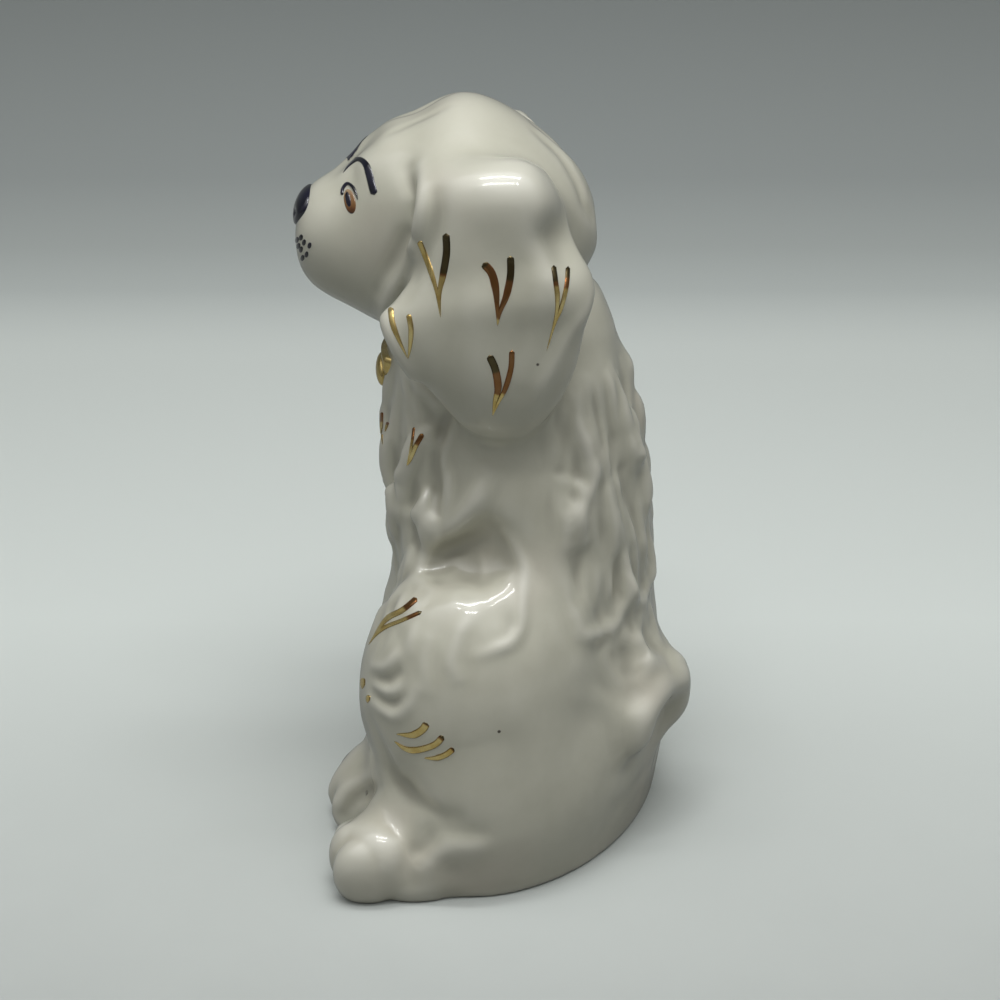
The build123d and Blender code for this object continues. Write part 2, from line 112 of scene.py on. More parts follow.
joined = bmesh.new()
casting_of_face = []
for number, name in enumerate(CASTINGS):
    joined.from_mesh(nodes[name].data)
    casting_of_face += [number] * (len(joined.faces) - len(casting_of_face))
casting_of_face = np.array(casting_of_face)
casting_tree = BVHTree.FromBMesh(joined)

slab_low, slab_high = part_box("base_slab")
plug = bmesh.ops.create_cone(joined, cap_ends=True, segments=32, radius1=PLUG_RADIUS,
                             radius2=PLUG_RADIUS, depth=PLUG_HEIGHT)["verts"]
bmesh.ops.translate(joined, verts=plug, vec=Vector((0, 0, (slab_low.z + slab_high.z) / 2)))
bmesh.ops.remove_doubles(joined, verts=joined.verts, dist=TOUCHING)
wet_mesh = bpy.data.meshes.new("wet_clay")
joined.to_mesh(wet_mesh)
joined.free()
wet_clay = bpy.data.objects.new("wet_clay", wet_mesh)
scene.collection.objects.link(wet_clay)
grid = wet_clay.modifiers.new("grain", "REMESH")
grid.mode = "VOXEL"
grid.voxel_size = CLAY_GRAIN
skin_mesh = bpy.data.meshes.new_from_object(
    wet_clay.evaluated_get(bpy.context.evaluated_depsgraph_get()))
bpy.data.objects.remove(wet_clay)
print("wet clay vertices:", len(skin_mesh.vertices))

# %% Keep the outer skin
skin = bmesh.new()
skin.from_mesh(skin_mesh)
crown = max(skin.verts, key=lambda v: v.co.z)
outer, edge_of_search = {crown}, [crown]
while edge_of_search:
    here = edge_of_search.pop()
    for edge in here.link_edges:
        there = edge.other_vert(here)
        if there not in outer:
            outer.add(there)
            edge_of_search.append(there)
inner = [v for v in skin.verts if v not in outer]
bmesh.ops.delete(skin, geom=inner, context="VERTS")
skin.to_mesh(skin_mesh)
skin.free()
print("skin vertices:", len(skin_mesh.vertices), "inner ones dropped:", len(inner))

# %% [markdown]
# ## Sponging
# A damp sponge takes the grid's steps off the clay and rounds the luted joints. Each vertex moves a
# part of the way to the middle of its neighbours, many times over. Numpy does that for the whole
# skin at once, and a strength per vertex lets the joints be worked harder than the rest. How far a
# joint is worked depends on which two castings meet there.

# %% Arrays for the whole skin
class Net:
    """A mesh's vertices and the edges between them, as arrays."""

    def __init__(self, mesh):
        self.count = len(mesh.vertices)
        self.place = np.empty(self.count * 3)
        mesh.vertices.foreach_get("co", self.place)
        self.place = self.place.reshape(-1, 3) / MM
        self.links = np.empty(len(mesh.edges) * 2, int)
        mesh.edges.foreach_get("vertices", self.links)
        self.links = self.links.reshape(-1, 2)
        self.here = np.concatenate((self.links[:, 0], self.links[:, 1]))
        self.there = np.concatenate((self.links[:, 1], self.links[:, 0]))
        self.valence = np.bincount(self.here, minlength=self.count)

    def sponge(self, values, strength, rounds):
        """Moves each value towards its neighbours' mean, where the strength isn't zero."""
        strength = np.broadcast_to(np.ravel(strength), (self.count,))
        active = np.flatnonzero(strength > 0)
        number = np.full(self.count, -1)
        number[active] = np.arange(len(active))
        kept = number[self.here] >= 0
        here, there = number[self.here[kept]], self.there[kept]
        share_of_mean = (strength[active] / self.valence[active])[:, None]
        share_kept = (1 - strength[active])[:, None]
        values = values.copy()
        for _ in range(rounds):
            near = values[there]
            sums = [np.bincount(here, weights=near[:, k], minlength=len(active))
                    for k in range(values.shape[1])]
            values[active] = values[active] * share_kept + np.stack(sums, 1) * share_of_mean
        return values


net = Net(skin_mesh)
count, place, links = net.count, net.place, net.links


def set_skin(values):
    """Writes the places to the mesh and returns its vertex normals."""
    skin_mesh.vertices.foreach_set("co", (values * MM).ravel())
    skin_mesh.update()
    normals = np.empty(count * 3)
    skin_mesh.vertex_normals.foreach_get("vector", normals)
    return normals.reshape(-1, 3)


place = net.sponge(place, 0.5, 6)
print("edges:", len(links))

# %% Which casting each vertex belongs to
nearest = np.array([casting_of_face[casting_tree.find_nearest(Vector(p) * MM)[2]] for p in place])
share = np.eye(len(CASTINGS))[nearest]
share = net.sponge(share, 0.5, 8)
casting = share.argmax(1)
for number, name in enumerate(CASTINGS):
    print(name, int((casting == number).sum()))

# %% Work the luted joints
JOINT_REACH_MM = {("head", "left_ear"): 3.0, ("head", "right_ear"): 3.0, ("body", "head"): 5.0,
                  ("body", "left_ear"): 4.0, ("body", "right_ear"): 4.0,
                  ("body", "left_foreleg"): 5.0, ("body", "right_foreleg"): 5.0,
                  ("body", "left_hind_foot"): 5.0, ("body", "right_hind_foot"): 5.0,
                  ("body", "tail"): 4.0}
JOINT_REACH_PLAIN_MM = 2.0
FOOT_LEVEL_MM = 1.5
JOINT_ROUNDS = 160


def reach_from(points, reach):
    """1 at the points and falling to 0 at reach, for every vertex of the skin."""
    weight = np.zeros(count)
    low, high = points.min(0) - reach, points.max(0) + reach
    close = np.flatnonzero(((place > low) & (place < high)).all(1))
    for block in np.array_split(close, max(1, len(close) * len(points) // 4_000_000)):
        gap = np.linalg.norm(place[block][:, None] - points[None], axis=2).min(1)
        weight[block] = np.clip(1 - gap / reach, 0, 1)
    return weight * weight * (3 - 2 * weight)


work = np.zeros(count)
meets = casting[links]
for pair in {tuple(sorted(p)) for p in meets[meets[:, 0] != meets[:, 1]].tolist()}:
    names = tuple(CASTINGS[k] for k in pair)
    if "base_slab" in names:
        continue
    on_joint = links[(np.sort(meets, 1) == pair).all(1)][:, 0]
    reach = JOINT_REACH_MM.get(names, JOINT_REACH_PLAIN_MM)
    work = np.maximum(work, reach_from(place[on_joint][::3], reach))
work *= np.clip((place[:, 2] - FOOT_LEVEL_MM) / FOOT_LEVEL_MM, 0, 1)
place = net.sponge(place, 0.5 * work[:, None], JOINT_ROUNDS)
normals = set_skin(place)
print("joint vertices worked:", int((work > 0).sum()))

# %% [markdown]
# ## Tooling the coat
# The modeller pressed and pulled the clay with a wooden tool: a rolled edge round the ears, locks
# down the chest, a crease where the haunch meets the foot. Each mark here is a line of picture
# points, dropped on the skin by sight lines. Clay near the line is raised or sunk along its own
# normal by a bell curve of the given height and reach. The far side gets the same marks, mirrored
# in the head's or the trunk's middle plane, because the picture shows only one side.

# %% The tool
HEAD_PLANE = (Vector((-6.1, 0, 0)), Vector((1, 0, 0)))
TRUNK_PLANE = (Vector((1.7, 2.8, 0)), Vector((0.904, -0.428, 0)))
FAR_SIDE_SNAP_MM = 9.0
TAPER_START, TAPER_RATE = 0.3, 4.0


def skin_tree():
    """A search tree of the skin as it is now."""
    made = bmesh.new()
    made.from_mesh(skin_mesh)
    tree = BVHTree.FromBMesh(made)
    made.free()
    return tree


def smooth_line(points, steps):
    """Points along a curve that passes through the given ones."""
    points = np.array(points, float)
    if len(points) == 1:
        return points
    ends = np.concatenate((2 * points[:1] - points[1:2], points, 2 * points[-1:] - points[-2:-1]))
    knots = np.linspace(0, len(points) - 1, steps)
    at = np.minimum(knots.astype(int), len(points) - 2)
    t = (knots - at)[:, None]
    a, b, c, d = (ends[at + k] for k in range(4))
    return 0.5 * (2 * b + (c - a) * t + (2 * a - 5 * b + 4 * c - d) * t ** 2
                  + (3 * b - a - 3 * c + d) * t ** 3)


def on_skin(points):
    """The places on the skin, in mm, that a line of picture points shows."""
    line = smooth_line(points, 12 * len(points))
    found = [clay.ray_cast(eye_point, sight_line(*p))[0] for p in line]
    return np.array([np.array(f) / MM for f in found if f is not None])


def other_side(points, plane):
    """Places mirrored in a plane and set back on the skin."""
    point, across = plane
    found = []
    for p in points:
        p = Vector(p)
        p = p - 2 * (p - point).dot(across) * across
        hit = clay.find_nearest(p * MM)
        if hit[3] < FAR_SIDE_SNAP_MM * MM:
            found.append(np.array(hit[0]) / MM)
    return np.array(found)


def press(lift, line, raise_mm, reach_mm):
    """Adds one tool mark to the lift of each vertex."""
    if len(line) == 0:
        return
    low, high = line.min(0) - 3 * reach_mm, line.max(0) + 3 * reach_mm
    close = np.flatnonzero(((place > low) & (place < high)).all(1))
    gaps = np.linalg.norm(place[close][:, None] - line[None], axis=2)
    along = np.linspace(0, 1, len(line))
    taper = np.minimum(1, TAPER_START + TAPER_RATE * np.minimum(along, 1 - along))
    pull = np.exp(-((gaps ** 2 - gaps.min(1, keepdims=True) ** 2) / reach_mm ** 2))
    fade = pull @ taper / pull.sum(1)
    lift[close] += raise_mm * fade * np.exp(-(gaps.min(1) / reach_mm) ** 2)


def tool(marks, plane):
    """Works a set of marks into both sides of the skin."""
    lift = np.zeros(count)
    for raise_mm, reach_mm, points in marks:
        line = on_skin(points)
        press(lift, line, raise_mm, reach_mm)
        press(lift, other_side(line, plane), raise_mm, reach_mm)
    return lift


clay = skin_tree()
print("tool ready")

# %% [markdown]
# ### Filling and rounding the big forms
# Some joins need a whole handful of clay and not just a sponge: the ear grows out of the skull with
# no shelf above it, and the haunch runs into rump and foot. Along each listed line the clay within
# reach is taken away and a thin-plate spline is stretched over the gap. It is the shape that a thin
# springy sheet would take between the clay on either side, so it meets both without a crease.

# %% Stretch a smooth sheet over the joins
SHEET_JOINS = (
    (HEAD_PLANE, 11.0, ((436, 205), (470, 215), (505, 222), (540, 225))),
    (TRUNK_PLANE, 9.0, ((545, 600), (562, 640), (568, 690), (560, 735), (540, 765), (500, 785),
                        (460, 795), (430, 802))),
    (TRUNK_PLANE, 6.0, ((600, 692), (603, 662), (615, 642), (630, 634), (650, 642), (664, 656))),
    (TRUNK_PLANE, 6.0, ((420, 580), (450, 574), (485, 580), (520, 592))),
)
SHEET_BAND_MM = 3.0
SHEET_PEGS = 260
SHEET_FACES_AWAY = 0.15


def bend_energy(gap):
    """The thin-plate kernel of a distance."""
    return gap * gap * np.log(gap + 1e-9)


def sheet(spots, heights_there, wanted):
    """Heights at the wanted spots of a springy sheet pegged at the given spots."""
    size = len(spots)
    gaps = np.linalg.norm(spots[:, None] - spots[None], axis=2)
    flat = np.column_stack((np.ones(size), spots))
    system = np.zeros((size + 3, size + 3))
    system[:size, :size] = bend_energy(gaps)
    system[:size, size:] = flat
    system[size:, :size] = flat.T
    pull = np.linalg.solve(system, np.concatenate((heights_there, np.zeros(3))))
    far = np.linalg.norm(wanted[:, None] - spots[None], axis=2)
    tilt = np.column_stack((np.ones(len(wanted)), wanted)) @ pull[size:]
    return bend_energy(far) @ pull[:size] + tilt


def stretch(line, reach):
    """Replaces the clay within reach of a line by a sheet that meets the clay around it."""
    gap = np.full(count, np.inf)
    outer_reach = reach + SHEET_BAND_MM
    low, high = line.min(0) - outer_reach, line.max(0) + outer_reach
    close = np.flatnonzero(((place > low) & (place < high)).all(1))
    gap[close] = np.linalg.norm(place[close][:, None] - line[None], axis=2).min(1)
    out = normals[gap < reach].sum(0)
    out /= np.linalg.norm(out)
    faces_out = normals @ out > SHEET_FACES_AWAY
    inside = np.flatnonzero((gap < reach) & faces_out)
    band = np.flatnonzero((gap >= reach) & (gap < outer_reach) & faces_out)
    pegs = band[:: max(1, len(band) // SHEET_PEGS)]
    first = np.cross(out, (0, 0, 1))
    axes = np.column_stack((first, np.cross(out, first)))
    wanted = sheet(place[pegs] @ axes, place[pegs] @ out, place[inside] @ axes)
    place[inside] += (wanted - place[inside] @ out)[:, None] * out
    return inside


for plane, reach, points in SHEET_JOINS:
    line = on_skin(points)
    worked = np.zeros(count)
    for edge_line in (line, other_side(line, plane)):
        worked[stretch(edge_line, reach)] = 1
    worked = net.sponge(worked[:, None], 0.5, 8)
    place = net.sponge(place, 0.5 * worked, 12)
    normals = set_skin(place)
    clay = skin_tree()
    print("sheet stretched, vertices:", int((worked > 0.5).sum()))

# %% Rub clay into the corners
RUBBED_CORNERS = (
    (HEAD_PLANE, 9.0, 300, ((556, 215), (570, 235), (583, 258), (591, 276))),
    (TRUNK_PLANE, 8.0, 300, ((372, 745), (376, 775), (384, 800))),
    (TRUNK_PLANE, 7.0, 80, ((335, 760), (345, 780), (352, 800))),
    (TRUNK_PLANE, 7.0, 300, ((410, 880), (420, 884), (440, 880))),
    (TRUNK_PLANE, 6.0, 200, ((352, 812), (368, 812), (388, 806), (404, 800))),
    (TRUNK_PLANE, 15.0, 70, ((600, 400), (615, 470), (625, 540), (632, 600))),
    (TRUNK_PLANE, 12.0, 70, ((578, 440), (582, 500), (592, 570))),
    (TRUNK_PLANE, 8.0, 50, ((640, 655), (664, 682), (674, 710), (668, 738))),
)
RUB_CLEAR_SHARE = 0.2
for plane, reach, rounds, points in RUBBED_CORNERS:
    line = on_skin(points)
    work = np.maximum(reach_from(line, reach), reach_from(other_side(line, plane), reach))
    work *= np.clip(place[:, 2] / FOOT_LEVEL_MM - RUB_CLEAR_SHARE, 0, 1)
    place = net.sponge(place, 0.5 * work, rounds)
    print("corner rubbed, vertices:", int((work > 0).sum()))

# %% [markdown]
# The ear's shoulder, where it turns from the skull to the hanging panel, is fuller on the near
# side. Then whole handfuls of clay go on the breast and the hind foot, and come off above the
# haunch.

# %% Raise the shoulder, fill and hollow
SHOULDERS = (
    (2.5, 7.5, ((438, 205), (470, 203), (505, 205), (535, 212))),
    (2.4, 7.5, ((445, 187), (475, 184), (505, 186), (524, 192))),
)
SHOULDER_ROUNDS = 30
HANDFULS = (
    (1.2, 9.0, ((392, 400), (395, 450), (400, 505))),
    (1.0, 5.0, ((350, 838), (352, 855))),
    (-1.6, 4.5, ((402, 790), (404, 806), (402, 820))),
    (2.6, 6.0, ((396, 842), (408, 862), (416, 880))),
    (-3.0, 5.5, ((440, 563), (465, 560), (494, 556))),
)
lift = np.zeros(count)
for raise_mm, reach_mm, points in SHOULDERS:
    press(lift, on_skin(points), raise_mm, reach_mm)
normals = set_skin(place)
place = net.sponge(place + normals * lift[:, None], np.minimum(0.5, lift), SHOULDER_ROUNDS)
normals = set_skin(place)
clay = skin_tree()
place = place + normals * tool(HANDFULS, TRUNK_PLANE)[:, None]
normals = set_skin(place)
clay = skin_tree()
print("shoulder raised, in mm:", round(float(lift.max()), 1), "handfuls:", len(HANDFULS))

# %% [markdown]
# ### Head and ears
# The ear hangs as a broad flap: a thin rolled rim in front with a crease before it, a shallow
# panel, and a thick fold behind that rolls back to the nape. Below, soft folds run to the tip.

# %% Marks on head and ears
EAR_MARKS = (
    (1.5, 2.0, ((417, 170), (421, 201), (418, 227), (406, 258), (392, 286), (387, 308), (390, 329),
                (401, 352), (415, 373), (429, 395), (440, 413))),
    (-1.3, 2.1, ((409, 168), (411, 190), (411, 212), (407, 238), (395, 264), (380, 290))),
    (-0.8, 2.4, ((434, 196), (434, 216), (430, 240), (421, 264), (407, 296))),
    (-0.7, 7.0, ((478, 240), (482, 262))),
    (0.6, 2.8, ((527, 167), (534, 190), (535, 212), (531, 236), (542, 258), (553, 275))),
    (-0.8, 4.0, ((551, 240), (560, 262))),
    (0.5, 3.6, ((548, 206), (568, 205), (586, 222), (596, 250), (596, 275), (588, 296))),
    (0.6, 1.8, ((592, 292), (584, 314), (568, 336), (555, 362), (542, 388), (536, 405))),
    (0.5, 3.6, ((470, 265), (470, 330), (476, 390), (482, 425))),
    (-0.6, 3.6, ((452, 300), (452, 360), (460, 405))),
    (-0.6, 3.6, ((525, 270), (528, 330), (520, 390))),
    (0.5, 3.0, ((540, 285), (538, 330), (525, 380))),
    (-0.6, 1.6, ((536, 132), (562, 156), (577, 182), (583, 203), (590, 217))),
    (-0.25, 1.2, ((386, 131), (414, 117), (445, 105))),
)
FACE_MARKS = (
    (0.4, 4.5, ((324, 224), (318, 236))),
    (-0.5, 6.0, ((365, 235), (372, 260))),
)
BROW_VALLEY_MM = (-1.4, 6.5)
BROW_RIDGE_MM = (0.6, 2.6)
BROW = ((343, 173), (349.5, 164.5), (358, 159), (365.5, 164), (369.5, 175.5), (372, 186),
        (374.5, 195))
VALLEY_FROM_MM, VALLEY_TO_MM, VALLEY_STEPS = -27, -14, 24
ABOVE_ALL_MM = 200
valley = [clay.ray_cast(Vector((HEAD_PLANE[0].x, y, ABOVE_ALL_MM)) * MM, Vector((0, 0, -1)))[0]
          for y in np.linspace(VALLEY_FROM_MM, VALLEY_TO_MM, VALLEY_STEPS)]
lift = tool(EAR_MARKS + FACE_MARKS, HEAD_PLANE)
press(lift, np.array([np.array(v) / MM for v in valley if v is not None]), *BROW_VALLEY_MM)
for brow_line in (on_skin(BROW[:4]), other_side(on_skin(BROW[:4]), HEAD_PLANE)):
    press(lift, brow_line, *BROW_RIDGE_MM)
place = place + normals * lift[:, None]
print("head marks:", len(EAR_MARKS) + len(FACE_MARKS))

# %% [markdown]
# ### Coat, haunch, feet and tail
# The coat lies in wavy locks on the chest, is drawn into a fold from shoulder to haunch, and breaks
# into tufts along the back. The knee is rippled, and the tail is a thick roll with deep hollows.

# %% Marks on the trunk
CHEST_MARKS = (
    (0.8, 1.7, ((414, 425), (411, 451), (404, 468), (397, 481), (401, 499), (399, 516))),
    (0.8, 1.7, ((427, 449), (425, 481), (418, 507), (409, 516))),
    (0.96, 1.8, ((444, 462), (448, 490), (443, 512), (431, 523), (424, 535))),
    (-1.44, 2.0, ((435, 455), (436, 482), (434, 510))),
    (-1.12, 1.8, ((418, 452), (416, 473), (412, 501))),
    (-1.44, 2.0, ((441, 418), (440, 436))),
    (0.64, 1.5, ((403, 373), (412, 395), (418, 415))),
    (0.8, 1.7, ((392, 440), (388, 470), (391, 500), (396, 530))),
    (-0.96, 1.6, ((398, 440), (393, 468), (396, 500))),
    (0.8, 3.5, ((455, 447), (490, 454), (525, 447))),
    (1.44, 2.2, ((488, 473), (477, 499), (462, 518), (444, 533), (427, 551), (415, 566))),
    (-1.7, 4.0, ((436, 561), (455, 556), (475, 548), (492, 534))),
    (-0.9, 3.0, ((470, 575), (485, 577), (499, 562))),
)
COAT_MARKS = (
    (0.55, 1.2, ((503, 535), (516, 549), (524, 570), (523, 594), (521, 625), (512, 642), (495, 650),
                (478, 656))),
    (0.45, 1.4, ((557, 481), (561, 505), (568, 530))),
    (0.45, 1.4, ((560, 480), (572, 485), (584, 492))),
    (-1.02, 2.0, ((633, 555), (637, 575), (639, 592))),
    (1.02, 1.8, ((628, 560), (634, 592), (642, 598), (650, 570), (651, 545))),
    (0.85, 1.8, ((622, 400), (627, 430), (636, 455))),
    (0.85, 1.8, ((634, 445), (643, 470), (647, 500))),
    (-0.85, 2.0, ((628, 470), (634, 500), (640, 530))),
    (-0.85, 2.2, ((616, 505),)),
    (-0.68, 2.4, ((600, 455), (606, 480))),
    (0.59, 2.0, ((590, 540), (598, 570), (596, 600))),
    (-0.59, 2.2, ((575, 560), (580, 590))),
)
HAUNCH_MARKS = (
    (0.6, 2.0, ((405, 590), (412, 580), (424, 582), (430, 592))),
    (0.6, 1.5, ((372, 668), (386, 667), (398, 655))),
    (0.6, 1.5, ((375, 685), (388, 693), (398, 690))),
    (0.6, 1.5, ((371, 700), (383, 709), (394, 715), (406, 706), (416, 688))),
    (-0.7, 1.5, ((373, 677), (386, 680), (398, 672))),
    (-0.7, 1.5, ((373, 694), (384, 701), (396, 703), (404, 696))),
    (0.4, 1.6, ((428, 640), (424, 662), (426, 690))),
    (0.4, 1.6, ((415, 628), (410, 650))),
    (0.5, 1.6, ((472, 615), (458, 638), (452, 662), (458, 678))),
    (-0.8, 2.0, ((371, 721), (383, 750), (393, 774), (405, 788), (424, 805), (440, 816),
                 (456, 818))),
    (-1.0, 2.4, ((412, 885), (410, 868), (416, 852), (432, 843))),
    (0.8, 3.0, ((425, 862), (445, 848), (475, 846))),
    (-0.5, 2.0, ((430, 830), (455, 832), (480, 834))),
    (0.6, 1.8, ((339, 805), (350, 787), (372, 775))),
    (-0.8, 1.8, ((344, 816), (356, 798), (380, 786))),
)
TAIL_MARKS = (
    (0.7, 2.0, ((611, 640), (604, 655), (607, 672), (618, 682))),
    (0.7, 2.0, ((625, 636), (640, 645), (648, 662), (642, 680))),
    (-0.8, 2.4, ((627, 655), (628, 670))),
    (0.5, 2.6, ((579, 696), (606, 702), (630, 716), (657, 704), (671, 682))),
    (0.4, 2.4, ((680, 672), (686, 694), (681, 728), (670, 748))),
    (-0.9, 3.2, ((643, 697), (639, 690))),
    (-0.8, 3.0, ((670, 736), (673, 728))),
    (-0.5, 2.2, ((617, 750),)),
    (-0.5, 2.2, ((612, 775),)),
    (-0.5, 2.2, ((632, 789),)),
    (-0.5, 2.2, ((645, 772),)),
    (-0.5, 2.2, ((657, 752),)),
    (-0.5, 2.2, ((619, 808),)),
)
trunk_marks = CHEST_MARKS + COAT_MARKS + HAUNCH_MARKS + TAIL_MARKS
place = place + normals * tool(trunk_marks, TRUNK_PLANE)[:, None]
print("trunk marks:", len(trunk_marks))

# %% [markdown]
# ### Locks where the picture does not look
# The breast and the back are out of sight. A real ornament is modelled all round, so both get wavy
# locks from a formula: a cosine across the angle round the trunk, bent by a sine of the height. It
# fades out where the drawn marks begin. Two noises, stretched along the hair, then roughen the
# coat.

# %% Locks on breast and back
LOCK_WIDTH_MM = 6.4
LOCK_RADIUS_MM = 26.0
BREAST_LOCK_MM = 0.55
BACK_LOCK_MM = 0.22
LONG_WAVE_MM, LONG_WAVE_RUN_MM = 1.6, 8.5
SHORT_WAVE_MM, SHORT_WAVE_RUN_MM, SHORT_WAVE_DRIFT_MM = 0.8, 4.1, 5
LOCKS_START_MM, LOCKS_END_MM = (16, 24), (86, 92)
BREAST_START, BREAST_END = (-95, -70), (26, 42)
BACK_END, BACK_START = (-170, -150), (168, 178)


def fade_between(value, start, end):
    """0 at start, 1 at end and smooth between."""
    t = np.clip((value - start) / (end - start), 0, 1)
    return t * t * (3 - 2 * t)


middle, side = (np.array(v) for v in TRUNK_PLANE)
front = np.array((side[1], -side[0], 0))
away = place - middle
turn = np.degrees(np.arctan2(away @ side, away @ front))
level = place[:, 2]
run = np.radians(turn) * LOCK_RADIUS_MM
bend = LONG_WAVE_MM * np.sin(level / LONG_WAVE_RUN_MM)
bend += SHORT_WAVE_MM * np.sin(level / SHORT_WAVE_RUN_MM + run / SHORT_WAVE_DRIFT_MM)
lock = np.cos(2 * np.pi * (run + bend) / LOCK_WIDTH_MM)
lock *= 0.65 + 0.35 * np.sin(level / 7 + run / 3)
on_body = casting == CASTINGS.index("body")
heights = fade_between(level, *LOCKS_START_MM) * (1 - fade_between(level, *LOCKS_END_MM))
breast = fade_between(turn, *BREAST_START) * (1 - fade_between(turn, *BREAST_END))
behind = (1 - fade_between(turn, *BACK_END)) + fade_between(turn, *BACK_START)
lift = (BREAST_LOCK_MM * breast + BACK_LOCK_MM * behind) * heights * lock * on_body
print("locks reach, in mm:", round(float(np.abs(lift).max()), 2))

# %% Roughen the coat
COAT_GRAIN_MM = (5.0, 5.0, 13.0)
COAT_WAVE_MM = 0.6
RUMP_WAVE_MM = 0.16
STRAND_GRAIN_MM = (2.3, 2.3, 9.0)
STRAND_MM = 0.55
COAT_START_MM, COAT_END_MM = (40, 52), (88, 96)
HAIRY_BACK, HAIRY_BREAST = (128, 150), (66, 86)
PLAIN_SHARE = 0.15
FOOT_FADE_MM = (2, 8)
wave = np.array([noise.noise(Vector(p / COAT_GRAIN_MM)) for p in place])
strand = np.array([noise.noise(Vector(p / STRAND_GRAIN_MM)) for p in place])
coat = fade_between(level, *COAT_START_MM) * (1 - fade_between(level, *COAT_END_MM))
hairy = np.maximum(fade_between(np.abs(turn), *HAIRY_BACK),
                   1 - fade_between(np.abs(turn), *HAIRY_BREAST))
coat *= PLAIN_SHARE + (1 - PLAIN_SHARE) * hairy
wave_mm = RUMP_WAVE_MM + (COAT_WAVE_MM - RUMP_WAVE_MM) * coat
lift += wave * on_body * wave_mm * fade_between(level, *FOOT_FADE_MM)
lift += strand * on_body * STRAND_MM * coat
place = place + normals * lift[:, None]
place = net.sponge(place, 0.4, 2)
place[:, 2] = np.maximum(place[:, 2], 0)
normals = set_skin(place)
clay = skin_tree()
print("coat reaches, in mm:", round(float(np.abs(lift).max()), 2))

# %% [markdown]
# ## The glaze
# Cream glaze lies thick in the hollows and thin on the ridges, where the white clay shows. The
# hollows are also painted greyer, as painted shade, and the ridges whiter, as painted highlight.
# The curvature of the skin says which is which, so it is measured once and kept as an attribute
# that the material reads. A faint warm mottle, a few iron pits and a glassy coat do the rest.
# The coat's numbers sit on the shader itself, so that they survive an export.

# %% How thick the glaze lies, and where shade and highlight are painted
FINE_FULL_MM, DEEP_FULL_MM = 0.02, 0.7
# The curvature sets the glaze's depth and also where painted shade and painted highlight go.
hollow = ((net.sponge(place, 1.0, 1) - place) * normals).sum(1)[:, None]
hollow = net.sponge(hollow, 0.5, 6)[:, 0]
deep = ((net.sponge(place, 0.5, 60) - place) * normals).sum(1)
pooling_and_painted_shade = np.clip(hollow / FINE_FULL_MM, -1, 1) * 0.5
pooling_and_painted_shade += np.clip(deep / DEEP_FULL_MM, -1, 1) * 0.5
print("glaze pooling from", round(float(pooling_and_painted_shade.min()), 2), "to", round(float(pooling_and_painted_shade.max()), 2))

# %% Helpers for materials


def tone(red, green, blue):
    """A colour written as on a paint chart, from 0 to 255, in Blender's linear values."""
    def linear(c):
        c = c / 255
        return c / 12.92 if c <= 0.04045 else ((c + 0.055) / 1.055) ** 2.4
    return (linear(red), linear(green), linear(blue), 1)


class Finish:
    """A material under construction: its nodes, its links and its shader."""

    def __init__(self, name, **sockets):
        self.material = bpy.data.materials.new(name)
        self.material.use_nodes = True
        self.tree = self.material.node_tree
        self.shader = self.tree.nodes["Principled BSDF"]
        for socket, value in sockets.items():
            self.shader.inputs[socket.replace("_", " ")].default_value = value

    def add(self, kind, inputs=(), **settings):
        """Adds a node. An input is a plain value or another node's output."""
        node = self.tree.nodes.new("ShaderNode" + kind)
        for setting, value in settings.items():
            setattr(node, setting, value)
        for socket, value in dict(inputs).items():
            self.feed(node, socket, value)
        return node

    def feed(self, node, socket, value):
        """Links an output to a socket, or sets the socket's own value."""
        if isinstance(value, bpy.types.NodeSocket):
            self.tree.links.new(value, node.inputs[socket])
        else:
            node.inputs[socket].default_value = value

    def ramp(self, factor, *stops):
        """A colour ramp through (position, colour) stops."""
        node = self.add("ValToRGB", {"Fac": factor})
        band = node.color_ramp.elements
        while len(band) < len(stops):
            band.new(0.5)
        for element, (position, colour) in zip(band, stops):
            element.position = position
            element.color = colour
        return node.outputs["Color"]

    def mix(self, factor, first, second, blend="MIX"):
        """Two colours mixed by a factor."""
        node = self.add("Mix", data_type="RGBA", blend_type=blend)
        self.feed(node, 0, factor)
        self.feed(node, 6, first)
        self.feed(node, 7, second)
        return node.outputs[2]

    def span(self, value, low, high, start=0.0, end=1.0):
        """A value stretched from one range to another and held at its ends."""
        node = self.add("MapRange", {"Value": value, "From Min": low, "From Max": high,
                                     "To Min": start, "To Max": end})
        return node.outputs["Result"]


# %% Cream glaze
glaze = Finish("cream_glaze", Roughness=0.34, IOR=1.5, Coat_Weight=0.85, Coat_Roughness=0.035,
               Coat_IOR=1.5)
spot = glaze.add("TexCoord").outputs["Object"]
mottle = glaze.add("TexNoise", {"Vector": spot, "Scale": 85.0, "Detail": 4.0, "Roughness": 0.6})
blush = glaze.add("TexNoise", {"Vector": spot, "Scale": 42.0, "Detail": 2.0, "Roughness": 0.5})
ground = glaze.ramp(mottle.outputs["Fac"], (0.3, tone(200, 199, 182)), (0.7, tone(209, 208, 192)))
ground = glaze.mix(glaze.span(blush.outputs["Fac"], 0.55, 0.75, 0.0, 0.3), ground,
                   tone(208, 197, 182))
pool_and_painted_shade = glaze.add("Attribute", attribute_name="pooling_and_painted_shade").outputs["Fac"]
